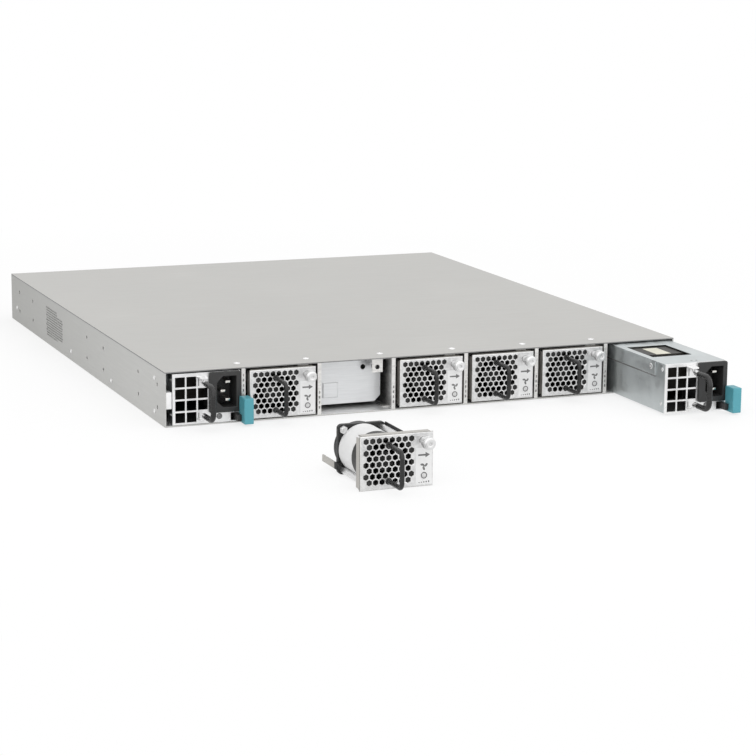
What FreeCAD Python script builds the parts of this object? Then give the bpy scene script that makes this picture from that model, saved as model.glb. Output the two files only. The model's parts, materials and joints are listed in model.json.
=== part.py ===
import FreeCAD, Part
import os
import re

import Sketcher

# One-unit rack ethernet switch, seen from its service side, in millimetres.
# X runs to the right as seen from the service side, Y runs into the chassis and Z is up.
# The origin is the centre of the chassis underside.

SIZES = {
    # chassis
    "chassis_width": 440.0,
    "chassis_height": 43.2,
    "chassis_depth": 510.0,
    "case_sheet": 1.0,
    "seat_gap": 0.3,
    "pivot_gap": 0.05,
    "cover_flange": 9.0,
    "cover_flange_inset": 14.0,
    # rack-ear holes: rectangles of four in both side walls, measured from the service edge
    "ear_hole_radius": 1.65,
    "ear_hole_spacing": 52.8,
    "ear_hole_rise": 18.0,
    "ear_hole_low": 12.0,
    "ear_service_inset": 20.6,
    "ear_middle_inset": 177.5,
    "ear_port_inset": 424.5,
    # cover screws
    "cover_screw_radius": 2.9,
    "cover_screw_height": 0.7,
    "cover_screw_inset": 16.0,
    "cover_screw_shift": 5.6,
    # fan bays and their walls
    "bay_pitch": 62.7,
    "divider_strip": 3.2,
    "divider_depth": 64.0,
    "supply_wall_depth": 220.0,
    "lug_width": 9.0,
    "lug_drop": 11.5,
    "lug_inset": 4.5,
    "lug_shelf_depth": 11.0,
    "foot_width": 6.0,
    "foot_inset": 9.0,
    "foot_depth": 14.0,
    # air flap
    "flap_sheet": 0.8,
    "flap_gap": 0.4,
    "flap_right_gap": 4.9,
    "flap_hinge_inset": 18.0,
    "flap_hinge_height": 40.9,
    "flap_foot_gap": 3.5,
    "flap_tab_half": 0.8,
    "flap_tab_reach": 0.45,
    "flap_bump_width": 12.9,
    "flap_bump_height": 12.0,
    "flap_bump_depth": 1.0,
    "flap_bump_left": 7.1,
    "flap_bump_low": 10.2,
    "flap_corner": 5.0,
    "flap_hole_radius": 2.2,
    "flap_hole_right": 15.0,
    "flap_hole_drop": 7.6,
    # fan module
    "plate_width": 54.5,
    "plate_height": 38.5,
    "plate_bottom": 2.3,
    "plate_sheet": 1.0,
    "plate_proud": 3.0,
    "rim_depth": 7.0,
    "rim_relief": 1.6,
    "grille_flats": 3.9,
    "grille_pitch": 4.8,
    "grille_left": 4.6,
    "grille_top": 3.9,
    "fan_size": 36.0,
    "fan_axis_left": 21.4,
    "fan_hole_pitch": 29.0,
    "fan_corner": 3.5,
    "barrel_outer": 17.7,
    "barrel_wall": 0.9,
    "barrel_length": 42.7,
    "fan_flange": 4.0,
    "collar_length": 6.0,
    "cheek_sheet": 0.9,
    "bearing_radius": 6.0,
    "strut_width": 2.6,
    "shaft_radius": 1.5,
    "rotor_hub_radius": 7.2,
    "rotor_front": 9.0,
    "rotor_length": 22.0,
    "blade_chord": 17.0,
    "blade_rise": 8.0,
    "blade_sheet": 1.0,
    "blade_tip_gap": 1.2,
    "standoff_flats": 4.0,
    "arm_height": 4.8,
    "arm_sheet": 1.2,
    "arm_length": 24.0,
    "arm_rise": 0.6,
    # fan handle
    "handle_reach": 24.0,
    "handle_radius": 1.75,
    "handle_span": 25.6,
    "handle_low": 7.9,
    "handle_corner": 4.5,
    # thumbscrew
    "thumb_left": 46.5,
    "thumb_height": 35.0,
    "thumb_head_radius": 4.6,
    "thumb_head_length": 8.0,
    "thumb_stand": 6.0,
    "thumb_neck_radius": 2.5,
    "thumb_shank_radius": 1.5,
    "thumb_shank_past": 1.5,
    # power supply
    "supply_width": 54.5,
    "supply_height": 39.9,
    "supply_length": 222.0,
    "supply_sheet": 0.8,
    "supply_left_inset": 6.0,
    "supply_right_gap": 4.15,
    "supply_drawn": 91.0,
    "face_sheet": 1.0,
    "lid_flange": 11.8,
    "lid_setback": 17.0,
    "window_left": 5.5,
    "window_width": 36.0,
    "window_front": 31.0,
    "window_length": 45.5,
    "cell_width": 7.9,
    "cell_height": 7.9,
    "cell_pitch_across": 9.1,
    "cell_pitch_up": 9.25,
    "cell_left": 2.2,
    "cell_low": 1.5,
    # mains inlet
    "inlet_width": 25.5,
    "inlet_low": 7.9,
    "inlet_proud": 2.5,
    "inlet_step": 1.7,
    "inlet_body_depth": 19.0,
    "socket_left": 6.0,
    "socket_width": 15.8,
    "socket_low": 4.0,
    "socket_height": 24.4,
    "socket_corner": 5.0,
    "socket_depth": 18.0,
    "pin_width": 4.0,
    "pin_thick": 2.0,
    "pin_length": 14.5,
    "pin_pitch": 7.0,
    "pin_offset": 4.0,
    # bail of a supply
    "bail_left": 23.5,
    "bail_stand": 3.2,
    "bail_reach": 29.0,
    "bail_radius": 2.3,
    "bail_wire_radius": 1.25,
    "bail_low": 8.5,
    "bail_span": 26.0,
    "bail_corner": 6.0,
    "bail_sleeve_start": 6.2,
    "ear_width": 6.0,
    "ear_reach": 6.0,
    "ear_sheet": 1.2,
    "ear_clear": 0.4,
    # latch of a supply
    "lever_right": 23.7,
    "lever_width": 3.2,
    "lever_height": 5.0,
    "lever_rise": 0.8,
    "lever_pivot": 38.0,
    "lever_tail": 4.0,
    "lever_pin_radius": 1.5,
    "lever_slot": 2.6,
    "tab_overhang": 5.8,
    "tab_width": 7.6,
    "tab_height": 20.2,
    "tab_front": 16.0,
    "tab_back": 3.0,
    # boards and sockets inside
    "board_sheet": 1.6,
    "board_rise": 3.0,
    "board_side_gap": 14.0,
    "board_rear_inset": 67.0,
    "board_neck_half": 154.5,
    "board_panel_gap": 4.0,
    "post_side": 8.0,
    "chip_side": 45.0,
    "chip_height": 2.4,
    "chip_forward": 60.0,
    "sink_width": 84.0,
    "sink_depth": 70.0,
    "sink_base": 4.0,
    "sink_height": 26.0,
    "fin_sheet": 1.6,
    "supply_board_half": 24.5,
    "supply_board_front": 46.0,
    "tongue_half": 15.0,
    "tongue_length": 9.0,
    "socket_rise": 5.0,
    "socket_block_depth": 14.0,
    "socket_block_height": 10.0,
    "socket_wall": 3.0,
    "coil_front": 46.5,
    # port side
    "panel_sheet": 1.2,
    "port_width": 13.8,
    "port_height": 9.6,
    "port_wall": 0.8,
    "port_row_gap": 3.0,
    "cage_depth": 48.0,
    "cage_proud": 0.6,
    "cage_left_inset": 60.0,
    "jack_width": 13.6,
    "jack_height": 11.6,
    "jack_wall": 1.6,
    "jack_depth": 20.0,
    "jack_left_inset": 252.0,
    "vent_width": 3.0,
    "vent_height": 22.0,
    "vent_pitch": 8.0,
    "vent_left_inset": 308.0,
    "vent_low": 9.0,
    # the fan module that stands taken out on the surface in front
    "loose_left": 62.3,
    "loose_forward": 231.0,
}
BAYS = (1, 2, 3, 4, 5)
EMPTY_BAY = 2
DIVIDERS = (1, 2, 3, 4, 5, 6)
GRILLE_ROWS = 8
GRILLE_WIDE_ROW = 8
BARREL_SIDES = 16
HEAD_SIDES = 12
PIN_SIDES = 8
BLADES = 5
PORT_COLUMNS = 10
PORT_ROWS = 2
JACKS = 2
VENTS = 12
FINS = 12

# Formulas that several sub-parts share.
REAR = "(-chassis_depth / 2)"
FLOOR = "case_sheet"
CEILING = "(chassis_height - case_sheet)"
INNER_HALF = "(chassis_width / 2 - case_sheet)"
BOARD_TOP = "(case_sheet + board_rise + board_sheet)"
WEB_LEFT = "(divider_strip / 2 - case_sheet)"
WEB_RIGHT = "(divider_strip / 2)"
PIVOT_HOLE = "(sqrt(flap_tab_half ^ 2 + (flap_sheet / 2) ^ 2) + pivot_gap)"
FAN_AXIS_X = "(fan_axis_left - plate_width / 2)"
FAN_AXIS_Z = "(plate_bottom + fan_size / 2)"
BARREL_FRONT = "(rim_depth + seat_gap)"
FLANGE_FRONT = "(rim_depth + seat_gap + barrel_length)"
FAN_BACK = f"({FLANGE_FRONT} + fan_flange + collar_length)"
ARM_LEFT = f"({FAN_AXIS_X} - fan_size / 2 - seat_gap - arm_sheet)"
ARM_LOW = f"({BOARD_TOP} + arm_rise)"
THUMB_X = "(thumb_left - plate_width / 2)"
LUG_X = f"({THUMB_X} - bay_pitch / 2)"
SUPPLY_HALF = "(supply_width / 2)"
SUPPLY_BOTTOM = "(case_sheet + seat_gap)"
SUPPLY_TOP = "(case_sheet + seat_gap + supply_height)"
SUPPLY_SOCKET_Y = f"({REAR} + supply_length + seat_gap)"
SUPPLY_LEFT_X = f"(-chassis_width / 2 + supply_left_inset + {SUPPLY_HALF})"
SUPPLY_RIGHT_X = f"(2.5 * bay_pitch + divider_strip / 2 + supply_right_gap + {SUPPLY_HALF})"
BAIL_X = f"(-{SUPPLY_HALF} + bail_left)"
BAIL_HIGH = "(bail_low + bail_span)"
TONGUE_HEIGHT = f"({BOARD_TOP} + socket_rise)"
SLOT_LOW = f"({TONGUE_HEIGHT} - board_sheet / 2 - seat_gap)"
SLOT_HIGH = f"({TONGUE_HEIGHT} + board_sheet / 2 + seat_gap)"
CAGE_WIDTH = f"({PORT_COLUMNS} * (port_width + port_wall) + port_wall)"
CAGE_HEIGHT = f"({PORT_ROWS} * port_height + port_row_gap + 2 * port_wall)"
JACK_BLOCK_WIDTH = f"({JACKS} * (jack_width + jack_wall) + jack_wall)"
JACK_BLOCK_HEIGHT = "(jack_height + 2 * jack_wall)"

doc = FreeCAD.newDocument("EthernetSwitch")
sheet = doc.addObject("Spreadsheet::Sheet", "Sizes")
for row, (alias, size) in enumerate(SIZES.items(), start=1):
    sheet.set(f"A{row}", alias)
    sheet.set(f"B{row}", str(size))
    sheet.setAlias(f"B{row}", alias)
doc.recompute()

ALIAS = re.compile(r"\b(" + "|".join(SIZES) + r")\b")
nodes = []


def bound(formula):
    """The formula with each size read from the sheet."""
    return ALIAS.sub(r"Sizes.\1", str(formula))


def value(formula):
    """What a formula comes to with the sheet's present sizes."""
    return float(sheet.evalExpression(bound(formula)))


def shape_body(label):
    """A body that other sub-parts repeat."""
    body = doc.addObject("PartDesign::Body", label)
    body.Label = label
    return body


def node_body(label):
    """A sub-part of its own; its label names its file."""
    body = shape_body(label)
    nodes.append(body)
    return body


def place(item, x="0", y="0", z="0"):
    """Bind the place of a sub-part to formulas."""
    for axis, formula in zip("xyz", (x, y, z)):
        item.setExpression(f"Placement.Base.{axis}", bound(formula))


def instance(label, body, x="0", y="0", z="0"):
    """A sub-part with the shape of a repeated body, at its own place."""
    copy = doc.addObject("Part::Compound", label)
    copy.Label = label
    copy.Links = [body]
    place(copy, x, y, z)
    nodes.append(copy)


def sketch_on(body, role, offset):
    """A sketch on one of the body's own planes, moved along the plane's normal."""
    sketch = body.newObject("Sketcher::SketchObject", "Sketch")
    plane = next(item for item in body.Origin.OriginFeatures if item.Role == role)
    sketch.AttachmentSupport = [(plane, "")]
    sketch.MapMode = "FlatFace"
    sketch.setExpression("AttachmentOffset.Base.z", bound(offset))
    return sketch


def face_sketch(body, y="0"):
    """A sketch in the X-Z plane, y millimetres into the chassis."""
    return sketch_on(body, "XZ_Plane", f"-({y})")


def plan_sketch(body, z="0"):
    """A sketch in the X-Y plane at height z."""
    return sketch_on(body, "XY_Plane", z)


def side_sketch(body, x="0"):
    """A sketch in the Y-Z plane at x."""
    return sketch_on(body, "YZ_Plane", x)


def tie(sketch, points):
    """Tie points of the sketch, each (geometry, end, x, y), to formulas."""
    rows = []
    for geometry, end, x, y in points:
        rows.append(("DistanceX", geometry, end, x))
        rows.append(("DistanceY", geometry, end, y))
    first = sketch.ConstraintCount
    sketch.addConstraint([
        Sketcher.Constraint(kind, -1, 1, geometry, end, value(formula))
        for kind, geometry, end, formula in rows])
    for index, (kind, geometry, end, formula) in enumerate(rows, start=first):
        sketch.setExpression(f"Constraints[{index}]", bound(formula))


def chain(sketch, corners, closed=True):
    """Straight lines through corners, each corner given as two formulas."""
    first = sketch.GeometryCount
    points = [FreeCAD.Vector(value(x), value(y), 0) for x, y in corners]
    pairs = list(zip(points, points[1:]))
    if closed:
        pairs.append((points[-1], points[0]))
    last = first + len(pairs) - 1
    sketch.addGeometry([Part.LineSegment(start, end) for start, end in pairs], False)
    joints = [
        Sketcher.Constraint("Coincident", index, 2, index + 1, 1) for index in range(first, last)]
    if closed:
        joints.append(Sketcher.Constraint("Coincident", last, 2, first, 1))
    sketch.addConstraint(joints)
    ties = [(index, 1, x, y) for index, (x, y) in enumerate(corners[:len(pairs)], start=first)]
    if not closed:
        ties.append((last, 2, *corners[-1]))
    tie(sketch, ties)
    return sketch


def rectangle(sketch, left, right, low, high):
    """A rectangle between four formulas."""
    return chain(sketch, [(left, low), (right, low), (right, high), (left, high)])


def polygon(sketch, radius, sides, x="0", y="0", turn=0.0):
    """A regular polygon whose corners lie on the given radius."""
    corners = []
    for index in range(sides):
        angle = turn + 360.0 * index / sides
        corners.append((f"{x} + ({radius}) * cos({angle} deg)", f"{y} + ({radius}) * sin({angle} deg)"))
    return chain(sketch, corners)


def pin_outline(sketch, radius, x="0", y="0"):
    """A pin's many-sided outline with its corners on the given radius."""
    return polygon(sketch, radius, PIN_SIDES, x, y, 180 / PIN_SIDES)


def hole_outline(sketch, radius, x="0", y="0"):
    """A many-sided hole whose flats stand at the given radius, so that a pin turns in it."""
    return polygon(sketch, f"({radius}) / cos({180 / PIN_SIDES} deg)", PIN_SIDES, x, y, 180 / PIN_SIDES)


def circle(sketch, radius, x="0", y="0"):
    """A circle whose centre and radius are formulas."""
    centre = FreeCAD.Vector(value(x), value(y), 0)
    index = sketch.addGeometry(Part.Circle(centre, FreeCAD.Vector(0, 0, 1), value(radius)), False)
    tie(sketch, [(index, 3, x, y)])
    number = sketch.addConstraint(Sketcher.Constraint("Radius", index, value(radius)))
    sketch.setExpression(f"Constraints[{number}]", bound(radius))
    return sketch


def pad(sketch, length, inward=False, both_ways=False):
    """Extrude a sketch; inward turns a face sketch into the chassis."""
    feature = sketch.getParentGeoFeatureGroup().newObject("PartDesign::Pad", "Pad")
    feature.Profile = sketch
    feature.setExpression("Length", bound(length))
    feature.Reversed = inward
    if both_ways:
        feature.SideType = "Symmetric"
    return feature


def pocket(sketch, length, outward=False):
    """Cut a sketch away to a depth; a face sketch cuts into the chassis unless outward."""
    feature = sketch.getParentGeoFeatureGroup().newObject("PartDesign::Pocket", "Pocket")
    feature.Profile = sketch
    feature.setExpression("Length", bound(length))
    feature.Reversed = outward
    return feature


def cut_through(sketch):
    """Cut a sketch away through everything, both ways."""
    feature = sketch.getParentGeoFeatureGroup().newObject("PartDesign::Pocket", "Cut")
    feature.Profile = sketch
    feature.Type = "ThroughAll"
    feature.SideType = "Symmetric"
    return feature


def repeat(feature, across, columns, up="0", rows=1):
    """Repeat a feature along its sketch's two axes at the given pitches."""
    sketch = feature.Profile[0]
    body = sketch.getParentGeoFeatureGroup()
    pattern = body.newObject("PartDesign::LinearPattern", "Repeat")
    pattern.Originals = [feature]
    pattern.Direction = (sketch, ["H_Axis"])
    pattern.Occurrences = columns
    pattern.setExpression("Length", bound(f"({across}) * {columns - 1}"))
    if rows > 1:
        pattern.Direction2 = (sketch, ["V_Axis"])
        pattern.Occurrences2 = rows
        pattern.setExpression("Length2", bound(f"({up}) * {rows - 1}"))
    body.Tip = pattern


def spin(feature, count):
    """Repeat a feature round its sketch's own normal."""
    sketch = feature.Profile[0]
    body = sketch.getParentGeoFeatureGroup()
    pattern = body.newObject("PartDesign::PolarPattern", "Spin")
    pattern.Originals = [feature]
    pattern.Axis = (body.Origin.OriginFeatures[1], [""])
    pattern.Angle = 360
    pattern.Occurrences = count
    body.Tip = pattern


def bar_along(body, corners, radius):
    """A many-sided bar along a chain of corners in the body's Y-Z plane."""
    path = chain(side_sketch(body), corners, closed=False)
    path.recompute()
    section = pin_outline(face_sketch(body, corners[0][0]), radius, y=corners[0][1])
    bar = body.newObject("PartDesign::AdditivePipe", "Bar")
    bar.Profile = section
    bar.Spine = (path, [f"Edge{index}" for index in range(1, len(corners))])
    bar.Transition = "Right corner"


def hex_radius(flats):
    """Corner radius of a hexagon with the given distance across flats."""
    return f"(({flats}) / 2 / cos(30 deg))"


def bay_x(bay):
    """Centre of a fan bay."""
    return f"({bay - 3} * bay_pitch)"


def divider_x(number):
    """Centre of a divider's rear strip."""
    return f"({number - 3.5} * bay_pitch)"


def chassis_base():
    """Folded tray: floor, two side walls, rack-ear holes, board posts and the left supply's guide rib."""
    body = node_body("chassis_base")
    outer = "(chassis_width / 2)"
    profile = face_sketch(body)
    chain(profile, [
        (f"-{outer}", "0"), (outer, "0"), (outer, CEILING), (INNER_HALF, CEILING),
        (INNER_HALF, FLOOR), (f"-{INNER_HALF}", FLOOR), (f"-{INNER_HALF}", CEILING), (f"-{outer}", CEILING)])
    pad(profile, "chassis_depth", both_ways=True)
    holes = side_sketch(body)
    for along in ("0", "ear_hole_spacing"):
        for up in ("0", "ear_hole_rise"):
            height = f"ear_hole_low + {up}"
            circle(holes, "ear_hole_radius", f"{REAR} + ear_port_inset + {along}", height)
            for inset in ("ear_service_inset", "ear_middle_inset"):
                pin_outline(holes, "ear_hole_radius", f"{REAR} + {inset} + {along}", height)
    cut_through(holes)
    post_half = "post_side / 2"
    post_x = "(board_neck_half - post_side)"
    post_y = "(chassis_depth / 2 - board_panel_gap - panel_sheet - 2 * post_side)"
    posts = plan_sketch(body, FLOOR)
    rectangle(posts, f"-{post_x} - {post_half}", f"-{post_x} + {post_half}",
              f"-{post_y} / 2 - {post_half}", f"-{post_y} / 2 + {post_half}")
    repeat(pad(posts, "board_rise"), f"{post_x} * 2 / 3", 4, f"{post_y} * 3 / 2", 2)
    rib = face_sketch(body, f"{REAR} + case_sheet")
    rib_right = "(-chassis_width / 2 + supply_left_inset - seat_gap)"
    rectangle(rib, f"-{INNER_HALF}", rib_right, "chassis_height / 3", "chassis_height * 5 / 8")
    pad(rib, "supply_wall_depth", inward=True)


def top_cover():
    """Lid of the tray with two folded flanges inside the side walls."""
    body = node_body("top_cover")
    plate = face_sketch(body)
    rectangle(plate, "-chassis_width / 2", "chassis_width / 2", CEILING, "chassis_height")
    pad(plate, "chassis_depth", both_ways=True)
    flanges = face_sketch(body)
    flange_outer = f"({INNER_HALF} - seat_gap)"
    flange_inner = f"({INNER_HALF} - seat_gap - case_sheet)"
    flange_low = f"{CEILING} - cover_flange"
    rectangle(flanges, f"-{flange_outer}", f"-{flange_inner}", flange_low, CEILING)
    rectangle(flanges, flange_inner, flange_outer, flange_low, CEILING)
    pad(flanges, "chassis_depth - 2 * cover_flange_inset", both_ways=True)


def cover_screws():
    """Screw heads along the service edge of the cover, one for each divider."""
    body = node_body("cover_screws")
    heads = plan_sketch(body, "chassis_height")
    for number in DIVIDERS:
        shift = "0" if number == DIVIDERS[0] else "cover_screw_shift"
        pin_outline(heads, "cover_screw_radius",
                    f"{divider_x(number)} - {shift}", f"{REAR} + cover_screw_inset")
    pad(heads, "cover_screw_height")


def divider_wall(body, depth):
    """Rear strip and web of a divider, with the hole that the flaps' tabs turn in."""
    height = f"{CEILING} - {FLOOR}"
    strip = plan_sketch(body, FLOOR)
    rectangle(strip, "-divider_strip / 2", "divider_strip / 2", "0", "case_sheet")
    pad(strip, height)
    web = plan_sketch(body, FLOOR)
    rectangle(web, WEB_LEFT, WEB_RIGHT, "0", depth)
    pad(web, height)
    cut_through(hole_outline(side_sketch(body), PIVOT_HOLE, "flap_hinge_inset", "flap_hinge_height"))
    return body


def divider_lug(body):
    """Foot on the floor and shelf under the cover, from which the thumbscrew's lug hangs."""
    foot = plan_sketch(body, FLOOR)
    rectangle(foot, f"{WEB_LEFT} - foot_width", WEB_LEFT, "foot_inset", "foot_inset + foot_depth")
    pad(foot, "case_sheet")
    lug_left = f"({LUG_X} - lug_width / 2)"
    shelf = plan_sketch(body, f"{CEILING} - case_sheet")
    rectangle(shelf, lug_left, WEB_RIGHT, "lug_inset", "lug_inset + lug_shelf_depth")
    pad(shelf, "case_sheet")
    lug = face_sketch(body, "lug_inset")
    rectangle(lug, lug_left, f"{LUG_X} + lug_width / 2", f"{CEILING} - lug_drop", CEILING)
    hole_outline(lug, "thumb_shank_radius + seat_gap", LUG_X, "thumb_height")
    pad(lug, "case_sheet", inward=True)
    return body


def bay_dividers():
    """Six folded walls: the outer two run back along the supplies, and all but the first carry a lug."""
    first = divider_wall(node_body("bay_divider_1"), "supply_wall_depth")
    place(first, divider_x(1), REAR)
    middle = divider_lug(divider_wall(shape_body("divider_shape"), "divider_depth"))
    for number in DIVIDERS[1:-1]:
        instance(f"bay_divider_{number}", middle, divider_x(number), REAR)
    last = divider_lug(divider_wall(node_body("bay_divider_6"), "supply_wall_depth"))
    place(last, divider_x(6), REAR)


def flap_shape():
    """Sheet flap on its pivot axis: it hangs down from two end tabs that turn in the dividers' holes."""
    body = shape_body("flap_shape")
    left = "(-bay_pitch / 2 + divider_strip / 2 + flap_gap)"
    right = f"(bay_pitch / 2 + {WEB_LEFT} - flap_right_gap)"
    tab_left = f"({left} - flap_gap - flap_tab_reach)"
    tab_right = f"({right} + flap_right_gap + flap_tab_reach)"
    low = f"({FLOOR} + flap_foot_gap - flap_hinge_height)"
    blank = face_sketch(body)
    chain(blank, [
        (left, low), (f"{right} - flap_corner", low), (right, f"{low} + flap_corner"),
        (right, "-flap_tab_half"), (tab_right, "-flap_tab_half"), (tab_right, "flap_tab_half"),
        (tab_left, "flap_tab_half"), (tab_left, "-flap_tab_half"), (left, "-flap_tab_half")])
    pin_outline(blank, "flap_hole_radius", f"{right} - flap_hole_right", "-flap_hole_drop")
    pad(blank, "flap_sheet", both_ways=True)
    bump = face_sketch(body, "-flap_sheet / 2")
    bump_left = f"({left} + flap_bump_left)"
    bump_low = "(flap_bump_low - flap_hinge_height)"
    rectangle(bump, bump_left, f"{bump_left} + flap_bump_width", bump_low, f"{bump_low} + flap_bump_height")
    pad(bump, "flap_bump_depth")
    return body


def bay_flaps():
    """The empty bay's flap hangs closed; the fan modules hold the others up under the cover."""
    flap = flap_shape()
    hinge_y = f"{REAR} + flap_hinge_inset"
    instance(f"bay_flap_{EMPTY_BAY}", flap, bay_x(EMPTY_BAY), hinge_y, "flap_hinge_height")
    raised = []
    for bay in BAYS:
        if bay == EMPTY_BAY:
            continue
        copy = doc.addObject("Part::Compound", f"flap_up_{bay}")
        copy.Links = [flap]
        copy.Placement = FreeCAD.Placement(FreeCAD.Vector(), FreeCAD.Rotation(FreeCAD.Vector(1, 0, 0), 90))
        place(copy, bay_x(bay), hinge_y, "flap_hinge_height")
        raised.append(copy)
    group = doc.addObject("Part::Compound", "raised_flaps")
    group.Label = "raised_flaps"
    group.Links = raised
    nodes.append(group)


def fan_face_plate():
    """Folded tray with the hexagon grille, its two pressed-in standoffs and the plug arm."""
    body = shape_body("fan_plate_shape")
    half = "plate_width / 2"
    top = "(plate_bottom + plate_height)"
    blank = face_sketch(body)
    rectangle(blank, f"-{half}", half, "plate_bottom", top)
    pad(blank, "rim_depth", inward=True)
    tray = face_sketch(body, "plate_sheet")
    rectangle(tray, f"-{half} + plate_sheet", f"{half} - plate_sheet",
              "plate_bottom + plate_sheet", f"{top} - plate_sheet")
    pocket(tray, "rim_depth")
    relief = face_sketch(body, "plate_sheet")
    for left, right in ((f"-{half}", f"-{half} + rim_relief"), (f"{half} - rim_relief", half)):
        rectangle(relief, left, right, "plate_bottom", "plate_bottom + rim_relief")
        rectangle(relief, left, right, f"{top} - rim_relief", top)
    pocket(relief, "rim_depth")
    hole = face_sketch(body)
    cut_through(hole_outline(hole, "thumb_neck_radius + pivot_gap", THUMB_X, "thumb_height"))
    row_pitch = "(grille_pitch * sqrt(3))"
    lowest = f"({top} - grille_top - {row_pitch} * {GRILLE_ROWS // 2 - 1})"
    first_x = f"(-{half} + grille_left)"
    wide_row = (GRILLE_WIDE_ROW, first_x, lowest)
    short_row = (GRILLE_WIDE_ROW - 1, f"{first_x} + grille_pitch / 2", f"{lowest} - {row_pitch} / 2")
    for columns, x, z in (wide_row, short_row):
        cell = polygon(face_sketch(body), hex_radius("grille_flats"), 6, x, z, 30.0)
        repeat(cut_through(cell), "grille_pitch", columns, row_pitch, GRILLE_ROWS // 2)
    offset = "fan_hole_pitch / 2"
    standoffs = face_sketch(body, "plate_sheet")
    for sign in ("-", "+"):
        polygon(standoffs, hex_radius("standoff_flats"), 6,
                f"{FAN_AXIS_X} {sign} {offset}", f"{FAN_AXIS_Z} {sign} {offset}")
    pad(standoffs, f"{FLANGE_FRONT} - plate_sheet", inward=True)
    arm_high = f"{ARM_LOW} + arm_height"
    foot = face_sketch(body, f"{FLANGE_FRONT} - arm_sheet")
    rectangle(foot, ARM_LEFT, f"{FAN_AXIS_X} - {offset} - standoff_flats / 4", ARM_LOW, arm_high)
    pad(foot, "arm_sheet", inward=True)
    arm = face_sketch(body, FLANGE_FRONT)
    rectangle(arm, ARM_LEFT, f"{ARM_LEFT} + arm_sheet", ARM_LOW, arm_high)
    pad(arm, "arm_length + fan_flange", inward=True)
    return body


def fan_frame():
    """Fan housing about its own axis: barrel, square rear flange, collar, struts, bearing and side cheek."""
    body = shape_body("fan_frame_shape")
    bore = "(barrel_outer - barrel_wall)"
    barrel = face_sketch(body, BARREL_FRONT)
    polygon(barrel, "barrel_outer", BARREL_SIDES)
    polygon(barrel, bore, BARREL_SIDES)
    pad(barrel, f"{FAN_BACK} - {BARREL_FRONT}", inward=True)
    flange = face_sketch(body, FLANGE_FRONT)
    half = "(fan_size / 2)"
    corner = f"({half} - fan_corner)"
    chain(flange, [
        (f"-{corner}", f"-{half}"), (corner, f"-{half}"), (half, f"-{corner}"), (half, corner),
        (corner, half), (f"-{corner}", half), (f"-{half}", corner), (f"-{half}", f"-{corner}")])
    polygon(flange, bore, BARREL_SIDES)
    pad(flange, "fan_flange", inward=True)
    bearing = face_sketch(body, f"{FAN_BACK} - collar_length")
    pin_outline(bearing, "bearing_radius")
    hole_outline(bearing, "shaft_radius + pivot_gap")
    pad(bearing, "collar_length", inward=True)
    strut = face_sketch(body, f"{FAN_BACK} - collar_length / 2")
    rectangle(strut, "bearing_radius - barrel_wall", bore, "-strut_width / 2", "strut_width / 2")
    spin(pad(strut, "collar_length / 2", inward=True), 3)
    cheek = face_sketch(body, "plate_sheet + seat_gap")
    rectangle(cheek, f"{half} - cheek_sheet", half, f"-{corner}", corner)
    pad(cheek, f"{FLANGE_FRONT} - plate_sheet - seat_gap", inward=True)
    return body


def fan_rotor():
    """Hub, pitched blades and the shaft that runs in the housing's bearing."""
    body = shape_body("fan_rotor_shape")
    hub_end = "(rotor_front + rotor_length)"
    hub = pin_outline(face_sketch(body, "rotor_front"), "rotor_hub_radius")
    pad(hub, "rotor_length", inward=True)
    shaft = pin_outline(face_sketch(body, hub_end), "shaft_radius")
    pad(shaft, f"{FAN_BACK} - {hub_end}", inward=True)
    front = "(rotor_front + rotor_length / 2 - blade_chord / 2)"
    back = f"({front} + blade_chord)"
    blade = side_sketch(body, "rotor_hub_radius / 2")
    chain(blade, [
        (front, "-blade_rise / 2"), (f"{front} + blade_sheet", "-blade_rise / 2"),
        (back, "blade_rise / 2"), (f"{back} - blade_sheet", "blade_rise / 2")])
    bore_flat = f"((barrel_outer - barrel_wall) * cos({180 / BARREL_SIDES} deg))"
    tip = f"sqrt(({bore_flat} - blade_tip_gap) ^ 2 - (blade_rise / 2) ^ 2)"
    spin(pad(blade, f"{tip} - rotor_hub_radius / 2"), BLADES)
    return body


def fan_handle():
    """Bar bent to a loop that stands out from the middle of the grille."""
    body = shape_body("fan_handle_shape")
    high = "(handle_low + handle_span)"
    bend = "(handle_reach - handle_corner)"
    bar_along(body, [
        ("0", high), (f"-{bend}", high), ("-handle_reach", f"{high} - handle_corner"),
        ("-handle_reach", "handle_low + handle_corner"), (f"-{bend}", "handle_low"), ("0", "handle_low")],
        "handle_radius")
    return body


def thumbscrew():
    """Captive screw: fluted head, neck that turns in the face plate and shank that reaches the lug."""
    body = shape_body("thumbscrew_shape")
    neck_end = "(plate_sheet + seat_gap)"
    head = polygon(face_sketch(body, "-thumb_stand - thumb_head_length"), "thumb_head_radius", HEAD_SIDES)
    pad(head, "thumb_head_length", inward=True)
    neck = pin_outline(face_sketch(body, "-thumb_stand"), "thumb_neck_radius")
    pad(neck, f"thumb_stand + {neck_end}", inward=True)
    shank = pin_outline(face_sketch(body, neck_end), "thumb_shank_radius")
    pad(shank, f"plate_proud + lug_inset + case_sheet + thumb_shank_past - {neck_end}", inward=True)
    return body


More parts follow.
